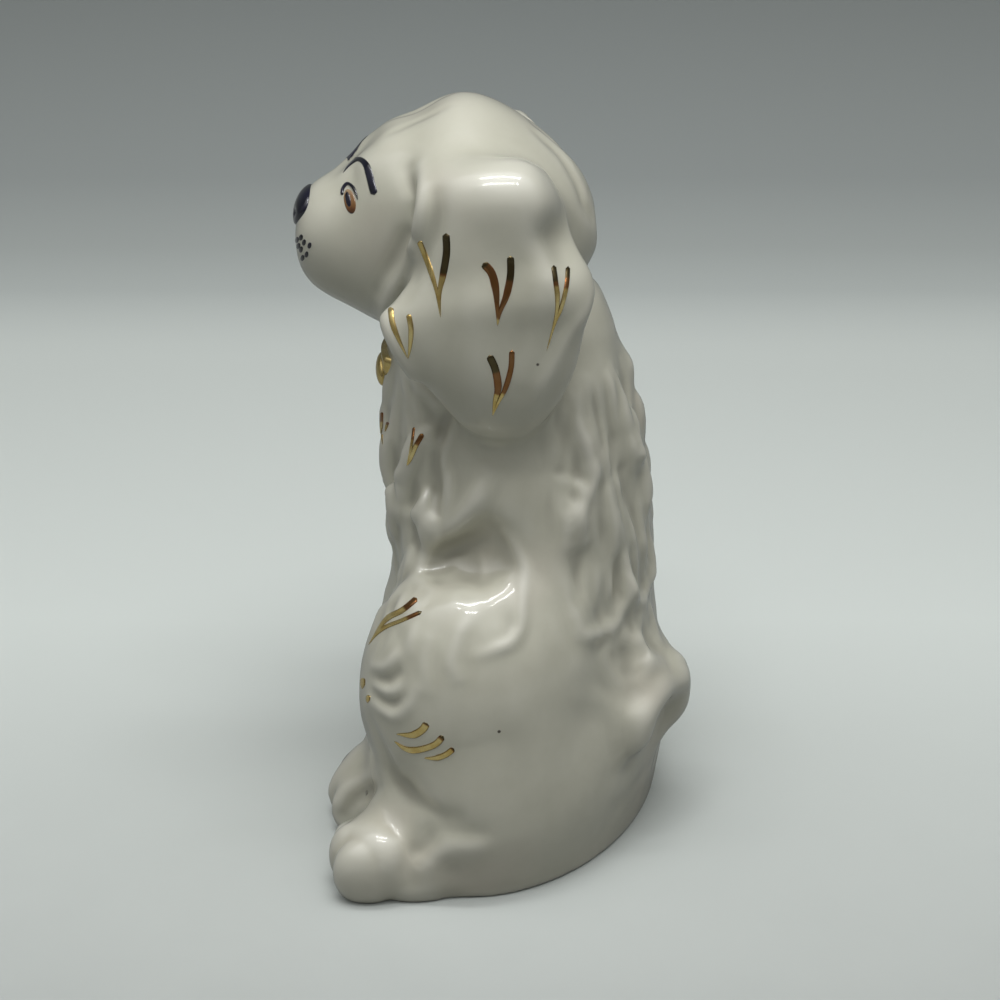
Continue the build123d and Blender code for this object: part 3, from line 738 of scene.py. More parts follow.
# Painted shade and highlight: hollows are mixed towards grey and ridges towards white, besides the
# glaze lying thicker or thinner there.
ground = glaze.mix(glaze.span(pool_and_painted_shade, 0.05, 0.9, 0.0, 0.6), ground, tone(160, 158, 143))
ground = glaze.mix(glaze.span(pool_and_painted_shade, -0.1, -0.9, 0.0, 0.55), ground, tone(222, 221, 209))
cells = glaze.add("TexVoronoi", {"Vector": spot, "Scale": 130.0})
speck = glaze.span(cells.outputs["Distance"], 0.03, 0.05, 1.0, 0.0)
chosen = glaze.span(cells.outputs["Color"], 0.80, 0.82)
pit = glaze.add("Math", {0: speck, 1: chosen}, operation="MULTIPLY").outputs[0]
ground = glaze.mix(pit, ground, tone(70, 60, 50))
glaze.feed(glaze.shader, "Base Color", ground)
ripple = glaze.add("TexNoise", {"Vector": spot, "Scale": 210.0, "Detail": 2.0})
dimple = glaze.add("Bump", {"Height": ripple.outputs["Fac"], "Strength": 0.12,
                            "Distance": 0.4 * MM})
glaze.feed(glaze.shader, "Normal", dimple.outputs["Normal"])
glaze.feed(glaze.shader, "Coat Normal", dimple.outputs["Normal"])
print("glaze nodes:", len(glaze.tree.nodes))

# %% [markdown]
# ## Back into separate castings
# The parts library keeps body, head, ears, legs, feet and tail as pieces of their own, so the skin
# is cut again along the luted joints. Each piece keeps the skin's own normals, so the cuts don't
# show. Its open edge is turned in by a lip and closed, as a hollow casting is where it is luted.
# Under the body the lip runs up past the base slab, so the slab shows in its recess.

# %% Cut, close and hand over the glazed castings
LIP_MM = 1.5
BASE_LIP_MM = 9.0
BASE_ZONE_MM = 2.5


def hand_over(name, mesh, finish, slot, *stands_for):
    """Makes the finished piece, rides it on the figure and hides the nodes it stands for."""
    piece = bpy.data.objects.new(name, mesh)
    scene.collection.objects.link(piece)
    mesh.materials.clear()
    mesh.materials.append(finish.material)
    mesh.polygons.foreach_set("use_smooth", [True] * len(mesh.polygons))
    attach(piece, "root")
    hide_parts(*stands_for)
    print(name, "faces:", len(mesh.polygons))
    return piece


skin = bmesh.new()
skin.from_mesh(skin_mesh)
skin_normal = skin.verts.layers.float_vector.new("skin_normal")
# This layer carries the glaze depth together with the painted shade and highlight.
glaze_depth_and_painted_shade = skin.verts.layers.float.new("pooling_and_painted_shade")
skin.verts.ensure_lookup_table()
for vert, normal, thick in zip(skin.verts, normals, pooling_and_painted_shade):
    vert[skin_normal] = normal
    vert[glaze_depth_and_painted_shade] = thick
face_owner = skin.faces.layers.int.new("casting")
for face in skin.faces:
    votes = share[[v.index for v in face.verts]].sum(0)
    face[face_owner] = int(votes.argmax())

for number, name in enumerate(CASTINGS):
    if name == "base_slab":
        continue
    cut = skin.copy()
    owner = cut.faces.layers.int["casting"]
    inward = cut.verts.layers.float_vector["skin_normal"]
    others = [f for f in cut.faces if f[owner] != number]
    bmesh.ops.delete(cut, geom=others, context="FACES")
    rim = [e for e in cut.edges if e.is_boundary]
    lip = bmesh.ops.extrude_edge_only(cut, edges=rim)["geom"]
    for vert in (g for g in lip if isinstance(g, bmesh.types.BMVert)):
        low_rim = name == "body" and vert.co.z < BASE_ZONE_MM * MM
        vert.co += Vector((0, 0, BASE_LIP_MM * MM)) if low_rim else -vert[inward] * LIP_MM * MM
    bmesh.ops.holes_fill(cut, edges=[e for e in cut.edges if e.is_boundary], sides=0)
    bmesh.ops.triangulate(cut, faces=[f for f in cut.faces if len(f.verts) > 4])
    bmesh.ops.recalc_face_normals(cut, faces=cut.faces)
    mesh = bpy.data.meshes.new("glazed_" + name)
    cut.to_mesh(mesh)
    cut.free()
    kept = np.empty(len(mesh.vertices) * 3, np.float32)
    mesh.attributes["skin_normal"].data.foreach_get("vector", kept)
    hand_over("glazed_" + name, mesh, glaze, "white_glaze", name)
    mesh.normals_split_custom_set_from_vertices(kept.reshape(-1, 3).tolist())
    mesh.attributes.remove(mesh.attributes["skin_normal"])
skin.free()

# %% [markdown]
# ## Brushwork
# Gold and enamel go on with a loaded brush: a mark starts round and full and runs out to a point.
# A flat grid is the natural start for one mark. Its length follows the drawn line, its width the
# brush, and every vertex is dropped on the glaze by a sight line. The grid is sunk a little into
# the glaze and an extrusion that keeps it lifts the paint's own thickness over it, so each mark is
# closed. Each vertex keeps how far along and across the mark it lies and how much of the dark room
# the gold reflects there, a painted reflection, for the materials to read.

# %% The brush
PAINT_MM = 0.16
PAINT_BODY_MM = 0.3
MARK_ROWS = 30
MARK_COLUMNS = 8
LINE_STEPS = 60
DAB_SEGMENTS = 14
EDGE_MM = 0.02
REFLECTION_BROWN_SHARE = 0.55


def brush_width(t, length, width, start_round, tip):
    """Share of the full width at t along a mark: a round start, and a pointed or round end."""
    round_part = min(0.45, 0.5 * width / max(length, 1e-6))
    full = 1.0
    if t < round_part:
        full = start_round + (1 - start_round) * math.sqrt(max(0, 1 - (1 - t / round_part) ** 2))
    if tip > 0:
        full *= min(1.0, ((1 - t) / tip) ** 0.75) if t > 1 - tip else 1.0
    elif t > 1 - round_part:
        full *= math.sqrt(max(0, 1 - ((t - 1 + round_part) / round_part) ** 2))
    return full


DEPTH_STRAY = 2.5 * MM
DEPTH_JUMP = 3 * MM
EDGE_SEARCH = 60


def depth_along(points):
    """How far from the camera a mark's points lie. One off the edge takes its neighbour's value."""
    hits = [clay.ray_cast(eye_point, sight_line(*p))[3] for p in points]
    middle_hit = len(hits) // 2
    across, down = points[middle_hit]
    inward = (clay.ray_cast(eye_point, sight_line(across + k, down))[3] for k in range(EDGE_SEARCH))
    known = next(h for h in [*hits[middle_hit:], *hits[:middle_hit], *inward] if h is not None)
    depths = [known] * len(hits)
    for run_order in (range(middle_hit, len(hits)), range(middle_hit, -1, -1)):
        last = known
        for k in run_order:
            if hits[k] is not None and abs(hits[k] - last) < DEPTH_JUMP:
                last = hits[k]
            depths[k] = last
    return depths


def drop(across, down, plane, depth):
    """The place and normal on the glaze for a picture point, on the near or the far side."""
    point, normal, _, far = clay.ray_cast(eye_point, sight_line(across, down))
    if point is None or abs(far - depth) > DEPTH_STRAY:
        point, normal, _, _ = clay.find_nearest(eye_point + sight_line(across, down) * depth)
    if plane:
        middle_point, over = plane
        point = point - 2 * (point - middle_point * MM).dot(over) * over
        point, normal, _, _ = clay.find_nearest(point)
    return point, normal


def finish_mark(paint, made, spots):
    """Puts a grid's vertices on the glaze, merges its ends and gives it thickness."""
    layer = paint.verts.layers.float_vector["brush"]
    rise = paint.verts.layers.float_vector["rise"]
    for vert, (point, normal, data, height) in zip(made, spots):
        vert.co = point - normal * PAINT_BODY_MM * MM
        vert[layer] = data
        vert[rise] = normal * (height + PAINT_BODY_MM * MM)
    bmesh.ops.remove_doubles(paint, verts=made, dist=0.01 * MM)
    under = list({f for v in made if v.is_valid for f in v.link_faces})
    drawn = bmesh.ops.extrude_face_region(paint, geom=under, use_keep_orig=True)["geom"]
    for vert in (g for g in drawn if isinstance(g, bmesh.types.BMVert)):
        vert.co += vert[rise]
    shell = list({f for v in made if v.is_valid for f in v.link_faces}
                 | {g for g in drawn if isinstance(g, bmesh.types.BMFace)})
    bmesh.ops.recalc_face_normals(paint, faces=shell)


def brush_mark(paint, points, width, dark_reflection=(0, 0), start_round=0.0, tip=0.55, plane=None,
               extra_mm=0.0):
    """Lays one mark. Points and width are in pixels; the reflection shares give the parts painted
    black and brown as the dark room's reflection.
    """
    line = smooth_line(points, LINE_STEPS)
    length = float(np.linalg.norm(np.diff(line, axis=0), axis=1).sum())
    slope = np.gradient(line, axis=0)
    slope /= np.linalg.norm(slope, axis=1)[:, None]
    made = bmesh.ops.create_grid(paint, x_segments=MARK_ROWS, y_segments=MARK_COLUMNS,
                                 size=1)["verts"]
    spots, depths = [], depth_along(line)
    for vert in made:
        t, v = (vert.co.x + 1) / 2, vert.co.y
        at = t * (len(line) - 1)
        low = min(int(at), len(line) - 2)
        centre = line[low] + (line[low + 1] - line[low]) * (at - low)
        aside = np.array((-slope[low][1], slope[low][0]))
        half = 0.5 * width * brush_width(t, length, width, start_round, tip)
        point, normal = drop(*(centre + aside * v * half), plane, depths[low])
        # Painted reflection: the first part of the mark is painted black and the next part brown,
        # where the gold mirrors the dark room.
        dark, brown = dark_reflection
        dark_reflection_share = 1.0 if t < dark else REFLECTION_BROWN_SHARE if t < brown else 0.0
        full = math.sqrt(max(0.0, 1 - v * v)) * min(1.0, 2 * half / width + 0.15)
        spots.append((point, normal, (t, v, dark_reflection_share), (PAINT_MM * full + EDGE_MM + extra_mm) * MM))
    finish_mark(paint, made, spots)


def brush_dab(paint, centre, half_sizes, lean=0.0, plane=None, extra_mm=0.0):
    """Lays one round or oval dab. Sizes are in picture pixels, the lean in degrees."""
    made = bmesh.ops.create_grid(paint, x_segments=DAB_SEGMENTS, y_segments=DAB_SEGMENTS,
                                 size=1)["verts"]
    spots, depth = [], depth_along([centre])[0]
    c, s = math.cos(math.radians(lean)), math.sin(math.radians(lean))
    for vert in made:
        x = vert.co.x * math.sqrt(1 - vert.co.y ** 2 / 2)
        y = vert.co.y * math.sqrt(1 - vert.co.x ** 2 / 2)
        wide, tall = x * half_sizes[0], y * half_sizes[1]
        point, normal = drop(centre[0] + wide * c - tall * s, centre[1] + wide * s + tall * c,
                             plane, depth)
        full = math.sqrt(max(0.0, 1 - x * x - y * y))
        spots.append((point, normal, (x, y, 0), (PAINT_MM * full + EDGE_MM + extra_mm) * MM))
    finish_mark(paint, made, spots)


def new_paint():
    """An empty bmesh that remembers where on the mark each vertex lies."""
    paint = bmesh.new()
    paint.verts.layers.float_vector.new("brush")
    paint.verts.layers.float_vector.new("rise")
    return paint


def dry(name, paint, finish, slot, node):
    """Turns a bmesh of marks into a finished piece."""
    mesh = bpy.data.meshes.new(name)
    paint.verts.layers.float_vector.remove(paint.verts.layers.float_vector["rise"])
    paint.to_mesh(mesh)
    paint.free()
    return hand_over(name, mesh, finish, slot, node)


# %% [markdown]
# ### Gold
# Bright gold is painted on the fired glaze and fired again. It is thin, so its edges come out
# brown, and where it lies thick it mirrors the dark room. That dark reflection is painted into the
# marks as black and brown parts.

# %% Gold finish
gold = Finish("bright_gold", Metallic=0.8, Roughness=0.22)
brush = gold.add("Attribute", attribute_name="brush").outputs["Vector"]
parts = gold.add("SeparateXYZ", {0: brush})
spot = gold.add("TexCoord").outputs["Object"]
streak = gold.add("TexNoise", {"Vector": spot, "Scale": 420.0, "Detail": 3.0})
leaf = gold.ramp(streak.outputs["Fac"], (0.3, tone(214, 184, 108)), (0.7, tone(242, 222, 158)))
rim_part = gold.add("Math", {0: parts.outputs["Y"]}, operation="ABSOLUTE").outputs[0]
leaf = gold.mix(gold.span(rim_part, 0.6, 1.0, 0.0, 0.85), leaf, tone(120, 92, 46))
# Painted reflection: the marked parts of each stroke are mixed to brown and black, as the gold
# mirrors the dark room.
dark_reflection_share = gold.ramp(parts.outputs["Z"], (0.0, (0, 0, 0, 1)), (REFLECTION_BROWN_SHARE, tone(236, 236, 236)),
                 (1.0, tone(240, 240, 240)))
reflection_tone = gold.ramp(parts.outputs["Z"], (0.5, tone(128, 66, 34)), (0.95, tone(20, 14, 16)))
leaf = gold.mix(dark_reflection_share, leaf, reflection_tone)
gold.feed(gold.shader, "Base Color", leaf)
grain = gold.add("Bump", {"Height": streak.outputs["Fac"], "Strength": 0.1, "Distance": 0.1 * MM})
gold.feed(gold.shader, "Normal", grain.outputs["Normal"])
print("gold nodes:", len(gold.tree.nodes))

# %% Gold tufts on the ears
OVERLAP_MM = 0.02
# The last pair of each tuft says how far along it the gold is painted black and brown as a
# reflection of the dark room.
EAR_TUFTS = (
    (((419, 241), (424, 253), (432, 275), (437, 294), (440.5, 318)), 5.6, (0, 0)),
    (((446, 233), (446.5, 253), (443, 275), (439.5, 294), (440.5, 318)), 7.4, (0.47, 0.52)),
    (((483, 263), (491.5, 273), (495.5, 288), (497, 305), (497.5, 326)), 8.2, (0.1, 0.92)),
    (((510.5, 255.5), (510.5, 275), (506.5, 295), (500, 312), (497.5, 326)), 7.4, (0.32, 0.9)),
    (((553.5, 265), (556, 284), (557.5, 299), (555.5, 318), (546.5, 351)), 5.2, (0.22, 0.3)),
    (((568, 266), (566.5, 286), (561, 308), (555, 323), (546.5, 351)), 4.6, (0.14, 0.3)),
    (((489, 355), (495.5, 370), (498, 388), (495, 401), (492.5, 416)), 7.8, (0.28, 0.62)),
    (((512, 350), (511, 368), (505.5, 388), (498, 403), (492.5, 416)), 5.6, (0, 0.6)),
    (((390.5, 307), (392.5, 323), (399, 340), (408, 359)), 5.8, (0, 0)),
    (((408.5, 314), (411, 329), (410, 347), (408, 359)), 5.4, (0, 0)),
)
for side_name, plane in (("left", None), ("right", HEAD_PLANE)):
    paint = new_paint()
    for number, (points, width, dark_reflection) in enumerate(EAR_TUFTS):
        brush_mark(paint, points, width, dark_reflection, plane=plane, extra_mm=OVERLAP_MM * (number % 2))
    dry(side_name + "_ear_gold", paint, gold, "gilding", side_name + "_ear_gilding")

# %% Gold on chest and haunch
CHEST_TUFTS = (
    (((414, 427), (412, 442), (409, 457), (406.5, 466)), 2.8),
    (((423, 433.5), (415.5, 446.5), (410, 460), (406.5, 466)), 5.0),
    (((382, 412), (381.5, 429), (382.5, 445)), 3.0),
    (((388, 422), (385, 432)), 2.6),
)
# The last pair of each tuft says how far along it the gold is painted black and brown as a
# reflection of the dark room.
HAUNCH_TUFTS = (
    (((417, 598), (402.5, 610), (385.5, 620), (368.5, 645)), 6.0, (0, 0.3)),
    (((422, 611.5), (402.5, 620), (385.5, 627), (376, 634.5), (368.5, 645)), 4.2, (0.05, 0.2)),
    (((427, 723), (422, 730), (412, 735), (396, 734)), 8.0, (0.06, 0.1)),
    (((443.5, 736), (434, 745), (417, 750), (405, 748.5), (394, 741)), 6.8, (0.05, 0.08)),
    (((454, 748.5), (446, 754.5), (436, 758), (424, 758)), 6.2, (0.05, 0.1)),
    (((363, 678), (362.5, 689)), 5.0, (0, 0)),
    (((368.5, 695), (367.5, 703)), 4.4, (0, 0)),
)
paint = new_paint()
# The chest strokes are painted brown over their first third, as a reflection of the dark room.
for number, (points, width) in enumerate(CHEST_TUFTS):
    brush_mark(paint, points, width, (0, 0.3), extra_mm=OVERLAP_MM * (number % 2))
dry("chest_gold", paint, gold, "gilding", "chest_gilding")
paint = new_paint()
for number, (points, width, dark_reflection) in enumerate(HAUNCH_TUFTS):
    brush_mark(paint, points, width, dark_reflection, tip=0.4, extra_mm=OVERLAP_MM * (number % 2))
dry("haunch_gold", paint, gold, "gilding", "haunch_gilding")

# %% [markdown]
# ### Black and brown enamel
# Brows, lids, pupils, whisker dots and nose are a blue-black enamel with a glassy face. The iris is
# brown, paler towards the top.

# %% Enamel finishes
black = Finish("blue_black_enamel", Roughness=0.2, IOR=1.5, Coat_Weight=0.8, Coat_Roughness=0.05)
spot = black.add("TexCoord").outputs["Object"]
cloud = black.add("TexNoise", {"Vector": spot, "Scale": 300.0, "Detail": 3.0})
black.feed(black.shader, "Base Color",
           black.ramp(cloud.outputs["Fac"], (0.35, tone(13, 13, 20)), (0.72, tone(34, 34, 58))))

brown = Finish("brown_enamel", Roughness=0.25, IOR=1.5, Coat_Weight=0.8, Coat_Roughness=0.05)
brush = brown.add("Attribute", attribute_name="brush").outputs["Vector"]
parts = brown.add("SeparateXYZ", {0: brush})
spot = brown.add("TexCoord").outputs["Object"]
fleck = brown.add("TexNoise", {"Vector": spot, "Scale": 900.0, "Detail": 2.0})
stray = brown.span(fleck.outputs["Fac"], 0.3, 0.7, -0.2, 0.2)
fall = brown.add("Math", {0: parts.outputs["Y"], 1: stray}, operation="ADD").outputs[0]
brown.feed(brown.shader, "Base Color",
           brown.ramp(brown.span(fall, -1.0, 1.0),
                      (0.05, tone(170, 146, 116)), (0.4, tone(142, 104, 66)),
                      (0.75, tone(124, 84, 46)), (1.0, tone(80, 46, 24))))
print("enamel nodes:", len(black.tree.nodes), len(brown.tree.nodes))

# %% Eyes, brows and whisker dots
EYE_LEAN = -11
IRIS = ((349.8, 201.4), (5.7, 12.6))
PUPIL = ((348.6, 199.6), (2.7, 7.8))
LID = ((342, 195), (343, 188.5), (347.5, 183.5), (352.5, 186.5), (356, 193), (358, 200))
DOTS = ((297, 240), (301, 237.5), (304, 242.5), (309.5, 245.5), (298.5, 246), (301, 249.5),
        (306.5, 254.5), (302.5, 258))
DOT_SIZE = (1.9, 3.2)
DOT_LEAN = 12
BROW_WIDTH, LID_WIDTH = 7.6, 3.0
PUPIL_OVER_MM, LID_OVER_MM = 0.12, 0.08
for side_name, plane in (("left", None), ("right", HEAD_PLANE)):
    paint = new_paint()
    brush_dab(paint, *IRIS, EYE_LEAN, plane)
    dry(side_name + "_brown_iris", paint, brown, "brown_enamel", side_name + "_iris")
    paint = new_paint()
    brush_dab(paint, *PUPIL, EYE_LEAN, plane, extra_mm=PUPIL_OVER_MM)
    dry(side_name + "_black_pupil", paint, black, "black_enamel", side_name + "_pupil")
    paint = new_paint()
    brush_mark(paint, LID, LID_WIDTH, start_round=0.3, tip=0.3, plane=plane, extra_mm=LID_OVER_MM)
    dry(side_name + "_black_lid", paint, black, "black_enamel", side_name + "_lid")
    paint = new_paint()
    brush_mark(paint, BROW[::-1], BROW_WIDTH, start_round=0.0, tip=0.62, plane=plane)
    dry(side_name + "_black_brow", paint, black, "black_enamel", side_name + "_brow")
    paint = new_paint()
    for dot in DOTS:
        brush_dab(paint, dot, DOT_SIZE, DOT_LEAN, plane)
    dry(side_name + "_black_dots", paint, black, "black_enamel", side_name + "_whisker_dots")

# %% [markdown]
# ### Nose, collar and padlock
# The nose is a raised pad under black enamel. It starts as a flat grid, as the brush marks do, is
# dropped on the muzzle from the front, and has two nostrils pressed in. The padlock hangs at the
# throat as a gilt drop, drawn from a sphere that is wider below. The collar's solid is right as it
# is and is only sunk under the hair of the ears, so that it shows at the throat alone.

# %% Nose
nose_low, nose_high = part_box("nose")
nose_middle = (nose_low + nose_high) / 2
NOSE_OUT = Vector((0, -0.86, 0.51))
NOSE_DOWN = Vector((0, -0.51, -0.86))
NOSE_HALF_WIDTH = 5.1 * MM
NOSE_HALF_HEIGHT = 3.7 * MM
NOSE_PAD_MM = 0.9
NOSE_SEGMENTS = 28
NOSE_CLEAR = 10 * MM
NOSE_TAPER = 0.22
NOSTRIL_ASIDE, NOSTRIL_BELOW, NOSTRIL_SPREAD, NOSTRIL_MM = 0.45, 0.3, 0.03, 0.45
NOSE_EDGE_MM = 0.03
pad = new_paint()
made = bmesh.ops.create_grid(pad, x_segments=NOSE_SEGMENTS, y_segments=NOSE_SEGMENTS,
                             size=1)["verts"]
spots = []
for vert in made:
    x = vert.co.x * math.sqrt(1 - vert.co.y ** 2 / 2)
    y = vert.co.y * math.sqrt(1 - vert.co.x ** 2 / 2)
    start = nose_middle + NOSE_OUT * NOSE_CLEAR + NOSE_DOWN * y * NOSE_HALF_HEIGHT
    start += Vector((x * NOSE_HALF_WIDTH * (1 - NOSE_TAPER * y), 0, 0))
    point, normal, _, _ = clay.ray_cast(start, -NOSE_OUT)
    nostril = sum(math.exp(-((x - side_sign * NOSTRIL_ASIDE) ** 2 + (y - NOSTRIL_BELOW) ** 2)
                           / NOSTRIL_SPREAD) for side_sign in (-1, 1))
    height = NOSE_PAD_MM * max(0, 1 - x * x - y * y) ** 0.5 - NOSTRIL_MM * nostril
    spots.append((point, normal, (x, y, 0), (height + NOSE_EDGE_MM) * MM))
finish_mark(pad, made, spots)
dry("black_nose", pad, black, "black_enamel", "nose")

# %% Padlock
lock_low, lock_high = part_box("padlock")
lock_middle = (lock_low + lock_high) / 2
lock_half = (lock_high - lock_low) / 2
DROP_BELLY, DROP_HEIGHT, DROP_SINK = 0.22, 0.62, 0.38
lock = new_paint()
made = bmesh.ops.create_uvsphere(lock, u_segments=40, v_segments=24, radius=1)["verts"]
for vert in made:
    x, y, z = vert.co
    belly = 1 - DROP_BELLY * z
    vert.co = lock_middle + Vector((x * lock_half.x * belly, y * lock_half.y,
                                    (z * DROP_HEIGHT - DROP_SINK) * lock_half.z))
dry("gold_padlock", lock, gold, "gilding", "padlock")

# %% Collar
COLLAR_SHOWS_TO_MM = -21.2
COLLAR_FADE_MM = 1.0
COLLAR_SINK_MM = 3.0
NECK = Vector((-6.1, -4.0, 0)) * MM
strap = new_paint()
strap.from_mesh(nodes["collar"].data)
bmesh.ops.remove_doubles(strap, verts=strap.verts, dist=TOUCHING)
for vert in strap.verts:
    under = min(1.0, max(0.0, (vert.co.y / MM - COLLAR_SHOWS_TO_MM) / COLLAR_FADE_MM))
    inward = NECK - vert.co
    inward.z = 0
    vert.co += inward.normalized() * under * COLLAR_SINK_MM * MM
dry("gold_collar", strap, gold, "gilding", "collar")

# %% [markdown]
# ## The unglazed base
# The slab under the figure was wiped clean before the glaze firing. It is plain buff clay with iron
# specks and a matt, sandy face, and its solid needs nothing more than that finish.

# %% Bare clay
clay_finish = Finish("bare_clay", Roughness=0.88, IOR=1.45)
spot = clay_finish.add("TexCoord").outputs["Object"]
sand = clay_finish.add("TexNoise", {"Vector": spot, "Scale": 130.0, "Detail": 6.0,
                                    "Roughness": 0.7}).outputs["Fac"]
buff = clay_finish.ramp(sand, (0.3, tone(196, 186, 166)), (0.7, tone(218, 210, 192)))
cells = clay_finish.add("TexVoronoi", {"Vector": spot, "Scale": 420.0})
buff = clay_finish.mix(clay_finish.span(cells.outputs["Distance"], 0.06, 0.12, 0.5, 0.0), buff,
                       tone(120, 96, 70))
clay_finish.feed(clay_finish.shader, "Base Color", buff)
sandy = clay_finish.add("Bump", {"Height": sand, "Strength": 0.4, "Distance": 0.3 * MM})
clay_finish.feed(clay_finish.shader, "Normal", sandy.outputs["Normal"])
slab = nodes["base_slab"]
slab.data.materials.clear()
slab.data.materials.append(clay_finish.material)
print("the base slab keeps its solid")

# %% [markdown]
# ## Floor, backdrop and light
# The picture was taken on a pale sheet that sweeps up behind the figure. One edge, drawn out and
# bent, makes the sheet. It is lighter to the camera than to the light it throws back, because the
# real sheet is larger. A sky that is brightest overhead and dimmer before the figure gives the soft
# light, and two strips of small lamps put their rows of dots on the ear and the haunch.

# %% Sweep
sweep = bmesh.new()
FLOOR_FRONT, COVE_START, COVE_RADIUS, WALL_TOP, HALF_WIDTH = 1.4, -0.22, 0.12, 1.5, 1.6
start = [sweep.verts.new((FLOOR_FRONT, y, 0)) for y in (-HALF_WIDTH, HALF_WIDTH)]
edge = sweep.edges.new(start)
flat = bmesh.ops.extrude_edge_only(sweep, edges=[edge])["geom"]
end_verts = [g for g in flat if isinstance(g, bmesh.types.BMVert)]
for vert in end_verts:
    vert.co.x = COVE_START
cove_edge = [g for g in flat if isinstance(g, bmesh.types.BMEdge)
             and all(v in end_verts for v in g.verts)]
turned = bmesh.ops.spin(sweep, geom=cove_edge + end_verts, cent=(COVE_START, 0, COVE_RADIUS),
                        axis=(0, 1, 0), angle=math.radians(90), steps=24)["geom_last"]
last_edge = [g for g in turned if isinstance(g, bmesh.types.BMEdge)]
wall = bmesh.ops.extrude_edge_only(sweep, edges=last_edge)["geom"]
for vert in (g for g in wall if isinstance(g, bmesh.types.BMVert)):
    vert.co.z = WALL_TOP
bmesh.ops.recalc_face_normals(sweep, faces=sweep.faces)
sweep_mesh = bpy.data.meshes.new("paper_sweep")
sweep.to_mesh(sweep_mesh)
sweep.free()
sweep_mesh.polygons.foreach_set("use_smooth", [True] * len(sweep_mesh.polygons))
floor = bpy.data.objects.new("paper_sweep", sweep_mesh)
scene.collection.objects.link(floor)
print("sweep faces:", len(sweep_mesh.polygons))

# %% Paper
paper = Finish("pale_paper", Roughness=0.9, IOR=1.4)
paper.shader.inputs["Specular IOR Level"].default_value = 0.1
ray = paper.add("LightPath")
seen = paper.add("Math", {0: ray.outputs["Is Camera Ray"], 1: ray.outputs["Is Glossy Ray"]},
                 operation="MAXIMUM").outputs[0]
spot = paper.add("TexCoord").outputs["Object"]
fibre = paper.add("TexNoise", {"Vector": spot, "Scale": 60.0, "Detail": 3.0})
pale = paper.ramp(fibre.outputs["Fac"], (0.2, tone(186, 191, 188)), (0.8, tone(189, 194, 191)))
sides = paper.add("SeparateXYZ", {0: spot})
rise = sides.outputs["Z"]
# Painted light: the sheet is painted lighter behind the figure and darker in front of it.
pale = paper.mix(paper.span(sides.outputs["X"], -0.07, 0.07), tone(227, 234, 230), pale)
# Painted shade: the sheet is painted darker as it rises into the cove and the wall.
wall_painted_shade = paper.ramp(paper.span(rise, 0.0, 0.1),
                   (0.0, tone(255, 255, 255)), (0.08, tone(222, 223, 224)),
                   (0.16, tone(206, 207, 208)), (0.32, tone(190, 191, 193)),
                   (0.8, tone(184, 185, 187)))
pale = paper.mix(1.0, pale, wall_painted_shade, "MULTIPLY")
# Painted reflection: seen in glossy reflections, the sheet is painted darker.
pale = paper.mix(ray.outputs["Is Glossy Ray"], pale, tone(150, 154, 152))
paper.feed(paper.shader, "Base Color", paper.mix(seen, tone(132, 134, 130), pale))
floor.data.materials.append(paper.material)
print("paper nodes:", len(paper.tree.nodes))

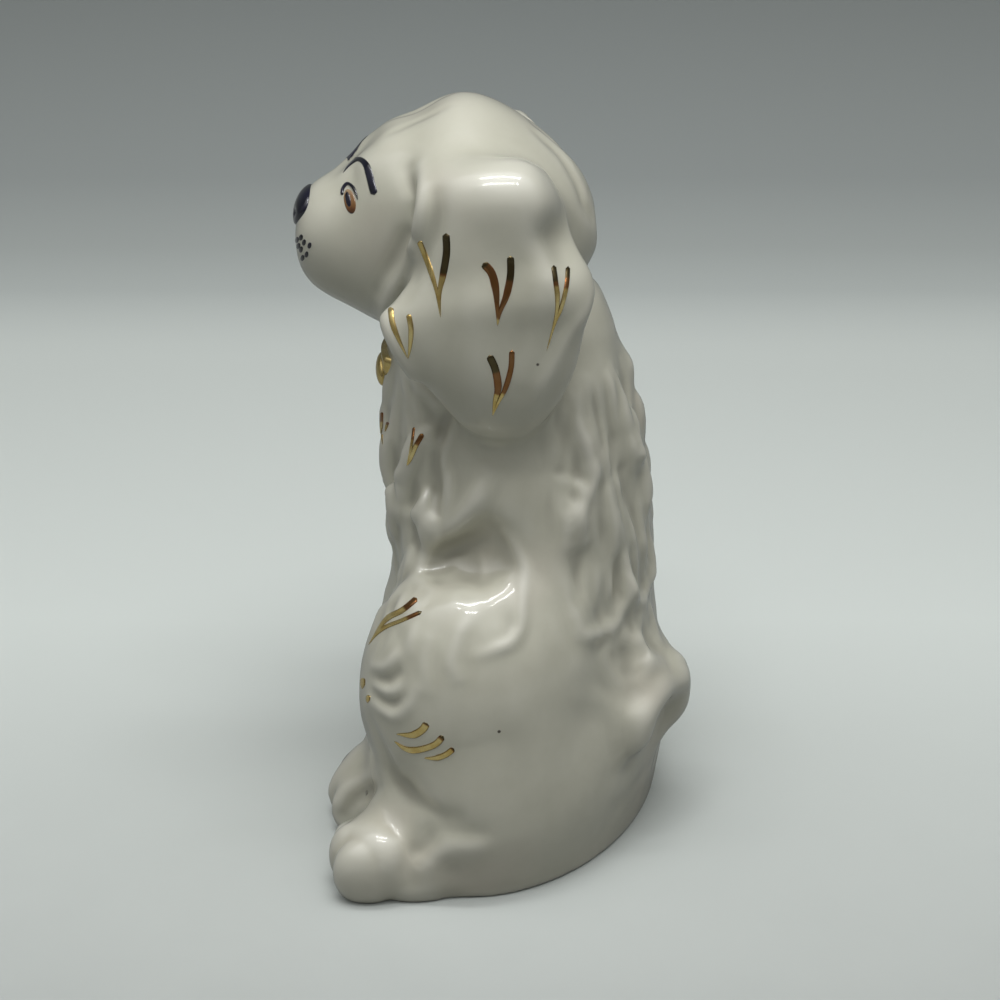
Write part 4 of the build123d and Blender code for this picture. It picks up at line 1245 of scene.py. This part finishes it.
# %% Soft sky
sky = bpy.data.worlds.new("soft_box")
sky.use_nodes = True
scene.world = sky
tree = sky.node_tree
direction = tree.nodes.new("ShaderNodeTexCoord")
height = tree.nodes.new("ShaderNodeSeparateXYZ")
tree.links.new(direction.outputs["Generated"], height.inputs[0])
dome = tree.nodes.new("ShaderNodeValToRGB")
SKY_LEVELS = ((0.0, 0.07), (1.0, 1.0), (0.5, 0.12))
SKY_WARMTH = 0.98
band = dome.color_ramp.elements
for element, (position, level_now) in zip((band[0], band[1], band.new(0.5)), SKY_LEVELS):
    element.position = position
    element.color = (level_now, level_now, level_now * SKY_WARMTH, 1)
tree.links.new(height.outputs["Z"], dome.inputs["Fac"])
background = tree.nodes["Background"]
tree.links.new(dome.outputs["Color"], background.inputs["Color"])
SKY_STRENGTH, SKY_BEHIND, SKY_BEFORE = 1.9, 1.45, 0.5
sideways = tree.nodes.new("ShaderNodeMapRange")
tree.links.new(height.outputs["X"], sideways.inputs["Value"])
for socket, value in (("From Min", -1.0), ("To Min", SKY_STRENGTH * SKY_BEHIND),
                      ("To Max", SKY_STRENGTH * SKY_BEFORE)):
    sideways.inputs[socket].default_value = value
tree.links.new(sideways.outputs["Result"], background.inputs["Strength"])
print("sky strength:", SKY_STRENGTH)

# %% Strip lamps
STRIP_MM = (260.0, 30.0)
STRIP_POWER = 0.42
STRIP_DOTS = 16
LIT_SHARE = 0.5
STRIP_SPOTS_MM = ((150.0, 0.0, 480.0), (30.0, 0.0, 480.0))


def strip_lamp(name, spot):
    """A row of small lights above the figure, facing down, running from left to right."""
    light = bpy.data.lights.new(name, "AREA")
    light.shape = "RECTANGLE"
    light.size, light.size_y = (s * MM for s in STRIP_MM)
    light.energy = STRIP_POWER
    light.use_nodes = True
    glow = light.node_tree
    along = glow.nodes.new("ShaderNodeSeparateXYZ")
    glow.links.new(glow.nodes.new("ShaderNodeNewGeometry").outputs["Parametric"], along.inputs[0])
    value = along.outputs["X"]
    for operation, number in (("MULTIPLY", STRIP_DOTS), ("FRACT", 0), ("LESS_THAN", LIT_SHARE),
                              ("MULTIPLY", 1 / LIT_SHARE)):
        step = glow.nodes.new("ShaderNodeMath")
        step.operation = operation
        glow.links.new(value, step.inputs[0])
        step.inputs[1].default_value = number
        value = step.outputs[0]
    glow.links.new(value, glow.nodes["Emission"].inputs["Strength"])
    made = bpy.data.objects.new(name, light)
    made.location = spot
    made.rotation_euler = (0, 0, math.radians(90))
    scene.collection.objects.link(made)


for number, spot_mm in enumerate(STRIP_SPOTS_MM):
    strip_lamp("strip_lamp_" + str(number + 1), Vector(spot_mm) * MM)
print("strip lamps:", len(STRIP_SPOTS_MM))
scene.view_settings.view_transform = "Standard"
